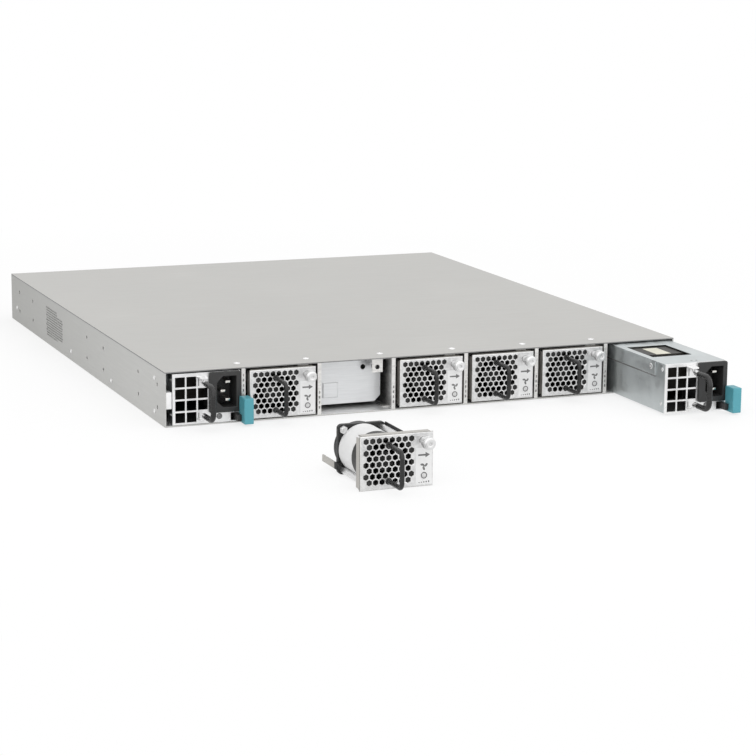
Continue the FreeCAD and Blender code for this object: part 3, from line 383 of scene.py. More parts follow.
def shaded_along_y_sheet(name, dark, light, roughness, grain, ends, metallic=0.85):
    """Plated sheet metal with painted shade that darkens it along Y between two ends in metres."""
    material, tree, shader = tree_of(name)
    streaks = noise_on(tree, scale=12, stretch=grain, detail=6)
    # Painted shade: the tone darkens from the first end towards the second.
    place = along_y(tree, object_coordinates(tree))
    painted_shade_along_y = between(tree, place, low=0.72, high=0.28, span=ends)
    colour(tree, shader, blend_of(tree, streaks, painted_shade_along_y, share=0.7), dark, light)
    roughen(tree, shader, streaks, roughness, below=0.05, above=0.07)
    shader.inputs["Metallic"].default_value = metallic
    relief(tree, shader, streaks, depth=0.00002)
    return material


def spangled_sheet(name, dark, light, roughness):
    """Galvanised sheet with soft crystal flakes."""
    material, tree, shader = tree_of(name)
    flakes = tree.nodes.new("ShaderNodeTexVoronoi")
    flakes.inputs["Scale"].default_value = 140
    tree.links.new(object_coordinates(tree), flakes.inputs["Vector"])
    shade = tree.nodes.new("ShaderNodeRGBToBW")
    tree.links.new(flakes.outputs["Color"], shade.inputs["Color"])
    cloud = noise_on(tree, scale=22)
    colour(tree, shader, blend_of(tree, shade.outputs["Val"], cloud, share=0.72), dark, light)
    roughen(tree, shader, shade.outputs["Val"], roughness)
    shader.inputs["Metallic"].default_value = 0.9
    relief(tree, shader, cloud, depth=0.00003)
    return material


def moulded(name, dark, light, roughness, grain=900, depth=0.00003, specular=0.5):
    """Moulded plastic, rubber or paper with a fine grain."""
    material, tree, shader = tree_of(name)
    fine = noise_on(tree, grain, detail=3)
    cloud = noise_on(tree, scale=40, detail=3)
    colour(tree, shader, cloud, dark, light)
    roughen(tree, shader, fine, roughness)
    shader.inputs["Specular IOR Level"].default_value = specular
    relief(tree, shader, fine, depth)
    return material


def plated_front_with_shaded_rim(name, front, rim, roughness):
    """Nickel plate, two tones each: whiter on its service face, and darker and warmer on the folded rim
    as painted shade.
    """
    material, tree, shader = tree_of(name)
    speckle = noise_on(tree, scale=420)
    cloud = noise_on(tree, scale=45, detail=3)
    normal = tree.nodes.new("ShaderNodeNewGeometry").outputs["True Normal"]
    # Painted shade: faces that do not look to the front take the darker rim tones.
    facing_front = between(tree, along_y(tree, normal), low=1.0, high=0.0, span=(-0.9, -0.5))
    mix = tree.nodes.new("ShaderNodeMix")
    mix.data_type = "RGBA"
    tree.links.new(facing_front, mix.inputs["Factor"])
    tree.links.new(two_tones(tree, cloud, *rim), mix.inputs["A"])
    tree.links.new(two_tones(tree, speckle, *front), mix.inputs["B"])
    tree.links.new(mix.outputs["Result"], shader.inputs["Base Color"])
    roughen(tree, shader, cloud, roughness)
    shader.inputs["Metallic"].default_value = 0.7
    relief(tree, shader, speckle, depth=0.00001)
    return material


def lamp_lens(name, dark, light):
    """Small diffusing lens."""
    material, tree, shader = tree_of(name)
    cloud = noise_on(tree, scale=700, detail=3)
    colour(tree, shader, cloud, dark, light)
    tree.links.new(between(tree, cloud, low=0.2, high=0.32), shader.inputs["Roughness"])
    shader.inputs["Coat Weight"].default_value = 0.4
    return material


def grey(level):
    return (level, level, level)


# Finishes: a dark and a light tone, roughness, and grain, which sheet metal has along X, Y and Z.
COVER = rolled_sheet("cover_zinc", (0.435, 0.430, 0.410), (0.500, 0.495, 0.478), 0.40, (2, 60, 60))
# Dark tone of cut sheet edges, also used as painted shade inside the lug holes.
SHEARED_EDGE_AND_SHADE = rolled_sheet("sheared_edge_and_painted_shade", grey(0.24), grey(0.30), 0.50, (20, 20, 20))
# Painted shade: the wall darkens away from the service edge, and the divider strip just behind its
# front edge.
WALL = shaded_along_y_sheet("wall_zinc_painted_shade", (0.34, 0.34, 0.325), (0.57, 0.57, 0.555), 0.42, (2, 3, 60),
                     ends=(-0.255, 0.255))
STRIP = shaded_along_y_sheet("divider_zinc_painted_shade", grey(0.10), (0.80, 0.79, 0.77), 0.38, (20, 20, 60),
                      ends=(-0.250, -0.236), metallic=0.6)
FLAP = rolled_sheet("flap_steel", (0.66, 0.67, 0.68), (0.78, 0.79, 0.80), 0.30, (4, 40, 60),
                    metallic=0.6)
SUPPLY_FACE = rolled_sheet("supply_nickel", grey(0.82), grey(0.90), 0.30, (20, 20, 20), metallic=0.6)
SUPPLY_SHEET = spangled_sheet("supply_galvanised", (0.46, 0.492, 0.497), (0.575, 0.608, 0.613), 0.36)
# Painted light: the tray's floor takes a brighter tone than its walls.
LIT_FLOOR_ZINC = rolled_sheet("floor_zinc_painted_light", grey(0.82), grey(0.90), 0.34, (2, 60, 60), metallic=0.6)
# Fan plate: its rim tones are painted shade.
FAN_PLATE = plated_front_with_shaded_rim("fan_plate_nickel", (grey(0.62), grey(0.78)),
                         ((0.40, 0.385, 0.36), (0.50, 0.485, 0.455)), 0.36)
POLISHED = rolled_sheet("polished_nickel", grey(0.68), grey(0.78), 0.36, (30, 30, 30), metallic=1.0)
SCREW = rolled_sheet("bright_zinc", grey(0.66), grey(0.84), 0.26, (40, 40, 40), metallic=1.0)
BLACK = moulded("fan_black", grey(0.012), grey(0.024), 0.46, specular=0.35)
INLET = moulded("inlet_black", grey(0.020), grey(0.034), 0.42, 1200, specular=0.4)
SLEEVE = moulded("sleeve_rubber", grey(0.009), grey(0.017), 0.26, 600, specular=0.4)
TEAL = moulded("tab_teal", (0.085, 0.330, 0.390), (0.105, 0.370, 0.435), 0.40, 1100, specular=0.35)
GUIDE = moulded("guide_nylon", grey(0.80), grey(0.88), 0.45, 700)
PAPER = moulded("barrel_paper", grey(0.70), grey(0.80), 0.62, 500, depth=0.00001)
CREAM = moulded("window_paper", (0.66, 0.64, 0.54), (0.76, 0.74, 0.63), 0.60, 500, depth=0.00001)
LEGEND = moulded("legend_film", grey(0.76), grey(0.84), 0.48, 900, depth=0.000005)
INK = moulded("legend_ink", grey(0.13), grey(0.20), 0.55, 900, depth=0.000005)
LENS = lamp_lens("status_lens", grey(0.56), grey(0.68))
DARK_LENS = lamp_lens("supply_lens", grey(0.12), grey(0.22))
BOARD = moulded("solder_mask", (0.012, 0.070, 0.030), (0.022, 0.105, 0.050), 0.40, 260)
POTTING = moulded("potted_coil", (0.020, 0.018, 0.016), (0.050, 0.045, 0.038), 0.55, 160)
FINS = rolled_sheet("milled_aluminium", (0.55, 0.56, 0.58), (0.68, 0.69, 0.71), 0.34, (60, 2, 60))
CAGE = rolled_sheet("cage_tin", (0.52, 0.53, 0.54), (0.66, 0.67, 0.68), 0.32, (30, 4, 30))
PINS = rolled_sheet("pin_nickel", (0.60, 0.59, 0.55), (0.76, 0.74, 0.70), 0.26, (60, 4, 60),
                    metallic=1.0)


def piece(name, bm, material, body, smooth=True):
    """Make a mesh object of a modelled form, in place, riding on a body."""
    bmesh.ops.remove_doubles(bm, verts=bm.verts, dist=SAME_POINT)
    bmesh.ops.recalc_face_normals(bm, faces=bm.faces)
    return bare_piece(name, bm, material, body, smooth)


def bare_piece(name, bm, material, body, smooth=True):
    """The same with the faces left as they point."""
    mesh = bpy.data.meshes.new(name)
    bm.to_mesh(mesh)
    bm.free()
    if smooth:
        round_shading(mesh)
    mesh.materials.append(material)
    item = bpy.data.objects.new(name, mesh)
    bpy.context.scene.collection.objects.link(item)
    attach(item, body)
    return item


def print_on(name, bm, body):
    """Make a dark print with flat faces."""
    piece(name, bm, INK, body, smooth=False)


def round_shading(mesh):
    mesh.shade_smooth()
    mesh.set_sharp_from_angle(angle=SMOOTH_BELOW)


def flat_sheets(mesh):
    """Keep the large faces of a piece of sheet flat beside its rounded edges."""
    for face in mesh.polygons:
        face.use_smooth = face.area < FLAT_ABOVE


def paint_faces(item, material, chosen):
    """Give the chosen faces of a piece one more finish."""
    number = len(item.data.materials)
    item.data.materials.append(material)
    for face in item.data.polygons:
        if chosen(face):
            face.material_index = number


def body_of_node(node):
    return frame["nodes"][node]["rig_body"]


def merged_copy(node):
    """The node's own faces with joined corners and whole flats."""
    bm = bmesh.new()
    bm.from_mesh(frame["nodes"][node].data)
    bmesh.ops.remove_doubles(bm, verts=bm.verts, dist=SAME_CORNER)
    bmesh.ops.dissolve_limit(bm, angle_limit=SAME_FLAT, verts=bm.verts, edges=bm.edges)
    return bm


def bevelled(bm, edges, width, segments):
    """Round the given edges, width in millimetres."""
    bmesh.ops.bevel(bm, geom=edges, offset=width * MM, offset_type="OFFSET", segments=segments,
                    profile=0.5, affect="EDGES", clamp_overlap=True, material=-1)


def soften(bm, width, segments=2):
    """Round every sharp edge."""
    sharp = [edge for edge in bm.edges if edge.is_manifold and edge.calc_face_angle(0) > SHARP_ABOVE]
    bevelled(bm, sharp, width, segments)


def in_place_of(node, bm, material):
    """Stand a finished form in a node's place."""
    item = bare_piece(node + "_edged", bm, material, body_of_node(node))
    flat_sheets(item.data)
    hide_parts(node)
    return item


def softened_node(node, material, width, segments=2):
    """Stand a copy of the node with broken edges in its place."""
    bm = merged_copy(node)
    soften(bm, width, segments)
    return in_place_of(node, bm, material)


def repaint(node, material):
    """Give a node that stays as it is its finish."""
    slots = frame["nodes"][node].data.materials
    slots.clear()
    slots.append(material)


def turned(points, centre, axis, steps=32):
    """A body of revolution: points are (distance from the axis, distance along it)."""
    bm = bmesh.new()
    across = axis.orthogonal().normalized()
    verts = [bm.verts.new(centre + across * (r * MM) + axis * (t * MM)) for r, t in points]
    for first, second in zip(verts, verts[1:]):
        bm.edges.new((first, second))
    bmesh.ops.spin(bm, geom=list(bm.verts) + list(bm.edges), cent=centre, axis=axis, angle=math.tau,
                   steps=steps, use_merge=True, use_duplicate=False)
    bmesh.ops.remove_doubles(bm, verts=bm.verts, dist=SAME_POINT)
    return bm


def closed(points):
    return list(points) + [points[0]]


def joined(parts):
    """Several forms as one."""
    whole = bmesh.new()
    for part in parts:
        mesh = bpy.data.meshes.new("part")
        bmesh.ops.recalc_face_normals(part, faces=part.faces)
        part.to_mesh(mesh)
        part.free()
        whole.from_mesh(mesh)
        bpy.data.meshes.remove(mesh)
    return whole


def block(low, high, width=0.0, segments=2):
    """A box between two corners, with rounded edges."""
    low, high = Vector(low) * MM, Vector(high) * MM
    bm = bmesh.new()
    place = Matrix.Translation((low + high) / 2) @ Matrix.Diagonal((*(high - low), 1))
    bmesh.ops.create_cube(bm, size=1.0, matrix=place)
    if width:
        soften(bm, width, segments)
    return bm


def pulled(bm, faces, way):
    """Pull faces out by a vector in metres; gives the new end faces."""
    grown = bmesh.ops.extrude_face_region(bm, geom=faces)
    end = [item for item in grown["geom"] if isinstance(item, bmesh.types.BMFace)]
    verts = {vert for face in end for vert in face.verts}
    bmesh.ops.translate(bm, verts=list(verts), vec=way)
    return end


def facing(axis, centre, turn=0.0):
    """Place of a flat form that looks along axis, its upper side up."""
    upright = axis.to_track_quat("Z", "Y").to_matrix().to_4x4()
    return Matrix.Translation(centre) @ upright @ Matrix.Rotation(turn, 4, "Z")


def bent_bar(start, radius, heading, moves, sides=20):
    """A round bar: moves are lengths to run on, or (turning axis, bend radius, angle)."""
    bm = bmesh.new()
    bmesh.ops.create_circle(bm, cap_ends=True, radius=radius * MM, segments=sides,
                            matrix=facing(heading, start))
    end = list(bm.faces)
    here, heading = Vector(start), Vector(heading)
    for move in moves:
        if isinstance(move, tuple):
            axis, bend, angle = move
            centre = here + axis.cross(heading) * (bend * MM)
            grown = bmesh.ops.spin(bm, geom=end, cent=centre, axis=axis, angle=angle, steps=BEND_STEPS,
                                   use_duplicate=False)
            end = [item for item in grown["geom_last"] if isinstance(item, bmesh.types.BMFace)]
            turn = Matrix.Rotation(angle, 3, axis)
            here = centre + turn @ (here - centre)
            heading = turn @ heading
        else:
            end = pulled(bm, end, heading * (move * MM))
            here = here + heading * (move * MM)
    return bm


def flat_disc(centre, radius, sides, lift, axis=-Y_AXIS, squash=1.0, turn=0.0):
    """A plate with straight sides, lift thick along axis; its first corner is up before the turn."""
    bm = bmesh.new()
    place = facing(axis, centre, turn) @ Matrix.Diagonal((1, squash, 1, 1))
    bmesh.ops.create_circle(bm, cap_ends=True, radius=radius * MM, segments=sides, matrix=place)
    pulled(bm, list(bm.faces), axis * (lift * MM))
    return bm


def screw_head(centre, axis, radius, height, steps=24):
    """Low domed head with a round recess."""
    profile = [(0, 0), (radius, 0), (radius, height * 0.35), (radius * 0.9, height * 0.75),
               (radius * 0.62, height), (radius * 0.36, height), (radius * 0.3, height * 0.45),
               (0, height * 0.4)]
    return turned(profile, centre, axis, steps)


def dress_lamp(name, body, spot, ring, lens, glass):
    """Status lamp on a service face: profiles of its dark ring and of its lens."""
    piece(f"{name}_lamp_ring", turned(closed(ring), spot, -Y_AXIS, steps=28), INK, body)
    piece(f"{name}_lamp_lens", turned(lens, spot, -Y_AXIS, steps=24), glass, body)


def round_front_fold(bm, low, high):
    """Round the outline of a folded plate's front."""
    def on_outline(vert):
        sides = (vert.co.x - low.x, vert.co.x - high.x, vert.co.z - low.z, vert.co.z - high.z)
        return abs(vert.co.y - low.y) < TOUCH and min(abs(side) for side in sides) < TOUCH
    outline = [edge for edge in bm.edges if all(on_outline(vert) for vert in edge.verts)]
    bevelled(bm, outline, FOLD_RADIUS, segments=4)


def dress_fan_plate(bay):
    """Folded nickel plate with bright standoffs: their ends and the arm beside the flange are painted
    black as painted shade.
    """
    node = f"fan_{bay}_face_plate"
    low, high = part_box(node)
    bm = merged_copy(node)
    flange_back = high.y - ARM_FREE * MM
    flange_front = flange_back - (FLANGE_FRONT - FLANGE_BACK + ARM_FOOT) * MM
    bmesh.ops.bisect_plane(bm, geom=[*bm.verts, *bm.edges, *bm.faces], plane_co=(0, flange_back, 0),
                           plane_no=Y_AXIS)
    round_front_fold(bm, low, high)
    soften(bm, PLATE_EDGE, segments=1)
    plate = in_place_of(node, bm, FAN_PLATE)

    def depth(face):
        return (face.center.y - low.y) / MM

    def bright(face):
        return depth(face) > RIM_DEPTH and face.center.y < flange_front

    # Painted shade: rod ends seen through the grille, and the arm beside the fan's flange.
    def painted_shade_faces(face):
        rod_end = GRILLE_SHEET < depth(face) < RIM_DEPTH and face.normal.y < -LEANS
        return rod_end or flange_front < face.center.y < flange_back

    paint_faces(plate, SCREW, bright)
    paint_faces(plate, BLACK, painted_shade_faces)
    dress_legend(f"fan_{bay}", body_of_node(node), low / MM)


def arrow_mark(x, y, z):
    """Arrow to the right about a point: a shaft and a head with three sides."""
    shaft = block((x - 4.4, y - FILM, z - 0.6), (x + 1.2, y, z + 0.6))
    head = flat_disc(Vector((x + 2.1, y, z)) * MM, radius=2.2, sides=3, lift=FILM, turn=-QUARTER)
    return [shaft, head]


def propeller_mark(x, y, z, blades=3, reach=1.7, first=0.4, pitch=0.5):
    """Propeller about a point: leaning blades at a reach from its hub, the first at an angle."""
    marks = []
    for blade in range(blades):
        angle = math.tau * blade / blades + first
        spot = Vector((x + reach * math.cos(angle), y, z + reach * math.sin(angle)))
        marks.append(flat_disc(spot * MM, radius=1.45, sides=12, lift=FILM, squash=0.55,
                               turn=angle + pitch))
    marks.append(flat_disc(Vector((x, y, z)) * MM, radius=0.6, sides=12, lift=FILM))
    return marks


def rising_bars(x, y, z, bars=5, pitch=1.8, half=0.45, lowest=0.5, rise=0.18):
    """Row of bars, each a little taller than the one before, about x and on top of z."""
    marks = []
    for step in range(bars):
        middle = x + (step - (bars - 1) / 2) * pitch
        top = z + lowest + rise * step
        marks.append(block((middle - half, y - FILM, z), (middle + half, y, top)))
    return marks


def dress_legend(name, body, corner):
    """Pale strip beside the grille with an arrow, a propeller, the status lamp and a row of bars."""
    left, front, low = corner
    film = block((left + LEGEND_LEFT, front - FILM, low + LEGEND_LOW),
                 (left + LEGEND_RIGHT, front + LET_IN, low + LEGEND_HIGH))
    piece(f"{name}_legend_film", film, LEGEND, body, smooth=False)
    middle = left + LEGEND_MIDDLE
    ink = front - FILM + LET_IN
    marks = [*arrow_mark(middle, ink, low + ARROW_HEIGHT),
             *propeller_mark(middle, ink, low + PROPELLER_HEIGHT),
             *rising_bars(middle, ink, low + BARS_HEIGHT)]
    print_on(f"{name}_legend_marks", joined(marks), body)
    lamp = Vector((middle, front - LET_IN, low + LAMP_HEIGHT)) * MM
    dress_lamp(name, body, lamp, FAN_RING, FAN_LENS, LENS)


def dress_handle(bay):
    """Rubber-coated loop with a small foot at each end."""
    node = f"fan_{bay}_handle"
    low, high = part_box(node)
    body = body_of_node(node)
    radius = (high.x - low.x) / MM / 2 * HANDLE_COAT
    middle = (low.x + high.x) / 2
    straight = (high.y - low.y) / MM - radius - HANDLE_BEND
    tall = (high.z - low.z) / MM - 2 * radius
    heights = (high.z - radius * MM, low.z + radius * MM)
    corner = (X_AXIS, HANDLE_BEND, QUARTER)
    bar = bent_bar(Vector((middle, high.y, heights[0])), radius, -Y_AXIS,
                   [straight, corner, tall - 2 * HANDLE_BEND, corner, straight])
    grip = piece(node + "_grip", bar, SLEEVE, body)
    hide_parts(node)
    feet = [turned(HANDLE_FOOT, Vector((middle, high.y, z)), -Y_AXIS, steps=20) for z in heights]
    piece(node + "_feet", joined(feet), SLEEVE, body)


def dress_thumbscrew(bay):
    """Knurled knob with a stepped front, on a necked stem."""
    node = f"fan_{bay}_thumbscrew"
    low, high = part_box(node)
    centre = Vector(((low.x + high.x) / 2, low.y, (low.z + high.z) / 2))
    length = (high.y - low.y) / MM
    stem = turned([(0, KNOB_BACK), (2.45, KNOB_BACK), (2.45, 14.9), (1.45, 15.2), (1.45, length - 0.6),
                   (0.9, length), (0, length)], centre, Y_AXIS, steps=28)
    face = turned(closed([(1.3, KNURL_FRONT), (1.3, 0.2), (1.6, 0), (2.9, 0), (3.1, 0.5), (3.6, 0.5),
                          (4.1, 1.0), (4.1, KNURL_FRONT)]), centre, Y_AXIS, steps=36)
    knurl = bmesh.new()
    bmesh.ops.create_circle(knurl, cap_ends=True, radius=KNURL_RADIUS * MM, segments=KNURL_CORNERS,
                            matrix=facing(Y_AXIS, centre + Y_AXIS * (KNURL_FRONT * MM)))
    bmesh.ops.scale(knurl, vec=(KNURL_DIP, 1, KNURL_DIP), space=Matrix.Translation(-centre),
                    verts=list(knurl.verts)[::2])
    pulled(knurl, list(knurl.faces), Y_AXIS * ((KNURL_BACK - KNURL_FRONT) * MM))
    skirt = turned([(0, KNURL_BACK), (4.0, KNURL_BACK), (3.7, 7.6), (3.1, KNOB_BACK), (0, KNOB_BACK)],
                   centre, Y_AXIS, steps=36)
    knob = piece(node + "_knob", joined([stem, face, knurl, skirt]), POLISHED, body_of_node(node))
    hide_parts(node)


def ring_plate(centre, low, high, corner):
    """Plate between two corners about centre, with rounded corners and the bore of the fan."""
    left, front, bottom = low
    right, back, top = high
    bm = bmesh.new()
    middle = centre + Vector(((left + right) / 2, front, (bottom + top) / 2)) * MM
    size = Matrix.Diagonal(((right - left) / 2 * MM, (top - bottom) / 2 * MM, 1, 1))
    bmesh.ops.create_grid(bm, x_segments=1, y_segments=1, size=1.0,
                          matrix=facing(-Y_AXIS, middle) @ size)
    bmesh.ops.bevel(bm, geom=list(bm.verts), offset=corner * MM, offset_type="OFFSET", segments=6,
                    profile=0.5, affect="VERTICES", clamp_overlap=True, material=-1)
    bmesh.ops.delete(bm, geom=list(bm.faces), context="FACES_ONLY")
    bmesh.ops.create_circle(bm, cap_ends=False, radius=PLATE_BORE * MM, segments=56,
                            matrix=facing(-Y_AXIS, centre + Y_AXIS * (front * MM)))
    bmesh.ops.bridge_loops(bm, edges=list(bm.edges))
    pulled(bm, list(bm.faces), Y_AXIS * ((back - front) * MM))
    return bm


def spokes_about(centre, count, half, front, back, edge):
    """Flat spokes from the hub to the barrel, between two depths."""
    spokes = []
    for number in range(count):
        spoke = block((SPOKE_START, front, -half), (SPOKE_END, back, half), edge)
        bmesh.ops.rotate(spoke, verts=list(spoke.verts), cent=(0, 0, 0),
                         matrix=Matrix.Rotation(math.tau * number / count, 3, "Y"))
        bmesh.ops.translate(spoke, verts=list(spoke.verts), vec=centre)
        spokes.append(spoke)
    return spokes


def dress_fan_frame(bay):
    """Fan housing with struts, guide vanes and bolts, and the paper wrapped about its barrel."""
    node = f"fan_{bay}_frame"
    low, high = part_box(node)
    body = body_of_node(node)
    centre = Vector(((low.x + high.x) / 2, high.y, (low.z + high.z) / 2))
    front = (low.y - high.y) / MM
    lip = BARREL_RADIUS - BARREL_LIP
    shell = turned(closed([(BARREL_RADIUS, BARREL_LIP - BARREL_LENGTH), (BARREL_RADIUS, -COLLAR_DEPTH),
                           (BARREL_RADIUS, -BARREL_LIP), (lip, 0), (BARREL_BORE, 0),
                           (BARREL_BORE, -BARREL_LENGTH), (lip, -BARREL_LENGTH)]),
                   centre, Y_AXIS, steps=64)
    flange = ring_plate(centre, (-FAN_HALF, -FLANGE_FRONT, -FAN_HALF),
                        (FAN_HALF, -FLANGE_BACK, FAN_HALF), FLANGE_CORNER)
    soften(flange, width=0.35)
    rim_plate = ring_plate(centre, (RIM_PLATE_LEFT, front + RIM_PLATE_FRONT, RIM_PLATE_LOW),
                           (RIM_PLATE_RIGHT, front + RIM_PLATE_BACK, RIM_PLATE_HIGH), RIM_PLATE_CORNER)
    hub = turned(closed([(HUB_BORE, -HUB_DEPTH), (HUB_RADIUS, -HUB_DEPTH), (HUB_RADIUS, -HUB_LIP),
                         (HUB_RADIUS - HUB_LIP, 0), (HUB_BORE, 0)]), centre, Y_AXIS)
    cheek = block((CHEEK_INNER, front, -FAN_HOLE), (FAN_HALF, -FLANGE_FRONT, FAN_HALF), width=0.2)
    bmesh.ops.translate(cheek, verts=list(cheek.verts), vec=centre)
    struts = spokes_about(centre, STRUTS, STRUT_HALF, -STRUT_DEPTH, 0, edge=0.3)
    vanes = spokes_about(centre, GUIDE_VANES, VANE_HALF, -VANE_DEPTH, -STRUT_DEPTH, edge=0.2)
    housing = piece(node + "_housing", joined([shell, flange, rim_plate, hub, cheek, *struts, *vanes]),
                    BLACK, body)
    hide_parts(node)
    wrap_end = -FLANGE_FRONT - WRAP_GAP
    wrap_start = wrap_end - WRAP_LENGTH
    wrap = turned(closed([(WRAP_INNER, wrap_start), (WRAP_OUTER, wrap_start), (WRAP_OUTER, wrap_end),
                          (WRAP_INNER, wrap_end)]), centre, Y_AXIS, steps=64)
    piece(node + "_wrap", wrap, PAPER, body)
    dress_fan_bolts(node, body, centre)


def dress_fan_bolts(node, body, centre):
    """Two bolts through corners of the flange, each with its nut before it."""
    bolts = []
    for x, z in ((-FAN_HOLE, FAN_HOLE), (FAN_HOLE, -FAN_HOLE)):
        nut = centre + Vector((x, -FLANGE_FRONT, z)) * MM
        bolts.append(flat_disc(nut, NUT_RADIUS, sides=6, lift=NUT_HEIGHT))
        bolts.append(turned([(0, NUT_HEIGHT), (1.9, NUT_HEIGHT), (1.7, 2.6), (0, 2.7)],
                            nut, -Y_AXIS, steps=20))
        head = centre + Vector((x, -FLANGE_BACK, z)) * MM
        bolts.append(flat_disc(head, HEAD_RADIUS, sides=6, lift=HEAD_HEIGHT, axis=Y_AXIS))
        bolts.append(turned([(0, HEAD_HEIGHT), (1.4, HEAD_HEIGHT), (1.4, 4.4), (0, 4.6)],
                            head, Y_AXIS, steps=16))
    piece(node + "_bolts", joined(bolts), SCREW, body)


def dress_fan(bay):
    dress_fan_plate(bay)
    dress_handle(bay)
    dress_thumbscrew(bay)
    dress_fan_frame(bay)
    repaint(f"fan_{bay}_rotor", BLACK)


def dress_supply(side):
    """Power supply: galvanised shells, nickel face, black inlet, teal tab and bail."""
    name = f"supply_{side}"
    dress_case(f"{name}_case")
    softened_node(f"{name}_lid", SUPPLY_SHEET, width=0.25)
    softened_node(f"{name}_face_plate", SUPPLY_FACE, width=0.15)
    dress_inlet(f"{name}_inlet")
    softened_node(f"{name}_inlet_pins", PINS, width=0.35)
    softened_node(f"{name}_latch", INLET, width=0.4)
    softened_node(f"{name}_tab", TEAL, width=0.7, segments=4)
    repaint(f"{name}_board", POTTING)
    dress_supply_trim(name)
    dress_bail(name)


def dress_case(node):
    """Case of a supply whose inner faces are painted dark as painted shade."""
    low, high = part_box(node)
    wall = SHADE_WITHIN * MM

    # Painted shade: faces inside the case take the black of the inlet.
    def inside(face):
        spot = face.center
        return low.x + wall < spot.x < high.x - wall and spot.z > low.z + wall and spot.y > low.y + wall

    paint_faces(softened_node(node, SUPPLY_SHEET, width=0.2), INLET, inside)


def dress_inlet(node):
    """Moulded collar with round outer corners."""
    low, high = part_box(node)
    bm = merged_copy(node)

    def on_corner(vert):
        sideways = min(abs(vert.co.x - low.x), abs(vert.co.x - high.x))
        upright = min(abs(vert.co.z - low.z), abs(vert.co.z - high.z))
        return max(sideways, upright) < TOUCH
    corners = [edge for edge in bm.edges if all(on_corner(vert) for vert in edge.verts)]
    along = [edge for edge in corners if abs(edge.verts[0].co.y - edge.verts[1].co.y) > TOUCH]
    bevelled(bm, along, INLET_CORNER, segments=4)
    soften(bm, width=0.4)
    in_place_of(node, bm, INLET)


def dress_supply_trim(name):
    """Label under the window, painted shade in the slits at the ears, screws and painted shadow lines,
    marks on the lid and the lamp.
    """
    low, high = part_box(f"{name}_lid")
    body = body_of_node(f"{name}_lid")
    left = low.x / MM
    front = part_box(f"{name}_case")[0].y / MM - FACE_SHEET
    coil = Vector((left, front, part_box(f"{name}_board")[1].z / MM))
    label = block(coil + LABEL_LOW, coil + LABEL_HIGH, LABEL_EDGE)
    piece(f"{name}_window_label", label, CREAM, body, smooth=False)
    # Painted shade: dark prints stand for the shaded openings of the slits at the ears.
    slit_shades = [block((left + SLIT_LEFT, front - PRINT, z), (left + SLIT_RIGHT, front + LET_IN, z + tall))
             for z, tall in SLIT_FEET]
    print_on(f"{name}_ear_slit_shades", joined(slit_shades), body)
    dress_supply_sides(name, body, front)
    spots = [Vector((left + x, front + DOTS_BACK, high.z / MM - LET_IN)) * MM for x in DOTS_ACROSS]
    dots = [flat_disc(spot, DOT_RADIUS, sides=12, lift=FILM + LET_IN, axis=Z_AXIS) for spot in spots]
    print_on(f"{name}_top_dots", joined(dots), body)
    lamp = Vector((left + SUPPLY_LAMP_ACROSS, front, SUPPLY_LAMP_HEIGHT)) * MM
    dress_lamp(name, body, lamp, SUPPLY_RING, SUPPLY_LENS, DARK_LENS)


def dress_supply_sides(name, body, front):
    """Screws in both sides of a supply, and a dark strip of painted shadow under each flange of its
    lid.
    """
    low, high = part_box(f"{name}_lid")
    case_low, case_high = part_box(f"{name}_case")
    flange_low = low.z / MM
    screws, shadow_lines = [], []
    for lid_x, case_x, axis in ((low.x, case_low.x, -X_AXIS), (high.x, case_high.x, X_AXIS)):
        side = case_x / MM
        left, right = sorted((side - SHADOW_LINE_SUNK * axis.x, side + SHADOW_LINE_STANDS * axis.x))
        shadow_lines.append(block((left, front + LID_SETBACK, flange_low - SHADOW_LINE_HEIGHT),
                           (right, high.y / MM, flange_low)))
        depth, z = LID_SCREW
        screws.append(screw_head(Vector((lid_x, (front + depth) * MM, z * MM)), axis,
                                 radius=2.4, height=0.45))
        for depth, z in CASE_SCREWS:
            screws.append(screw_head(Vector((case_x, (front + depth) * MM, z * MM)), axis,
                                     radius=1.6, height=0.5))
    piece(f"{name}_side_screws", joined(screws), SCREW, body)
    print_on(f"{name}_lid_shadow_lines", joined(shadow_lines), body)


def dress_bail(name):
    """Rubber sleeve with a bright ferrule at each end, on a wire whose bent ends turn in the ears."""
    node = f"{name}_bail"
    low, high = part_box(node)
    body = body_of_node(node)
    middle = (low.x + high.x) / 2
    pivot_y = high.y - BAIL_WIRE * EIGHT_FLATS * MM
    top = high.z - BAIL_STUB * MM
    bottom = low.z + BAIL_STUB * MM
    reach = (pivot_y - low.y) / MM - BAIL_SLEEVE * EIGHT_FLATS
    tall = (top - bottom) / MM
    arm = [BAIL_FERRULE, reach - BAIL_NECK - BAIL_BEND - BAIL_FERRULE]
    corner = (X_AXIS, BAIL_BEND, QUARTER)
    start = Vector((middle, pivot_y - BAIL_NECK * MM, top))
    bar = bent_bar(start, BAIL_SLEEVE - SLEEVE_SLACK, -Y_AXIS,
                   [*arm, corner, tall - 2 * BAIL_BEND, corner, *reversed(arm)])
    grip = piece(node + "_sleeve", bar, SLEEVE, body)
    paint_faces(grip, SCREW, lambda face: face.center.y > start.y - BAIL_FERRULE * MM)
    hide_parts(node)
    root = BAIL_NECK + WIRE_INSIDE
    ends = []
    for z, sense in ((top, 1), (bottom, -1)):
        moves = [root - BAIL_HOOK, (X_AXIS, BAIL_HOOK, sense * QUARTER), BAIL_STUB - BAIL_HOOK]
        ends.append(bent_bar(Vector((middle, pivot_y - root * MM, z)), BAIL_WIRE, Y_AXIS, moves,
                             sides=16))
    piece(node + "_wire", joined(ends), SCREW, body)


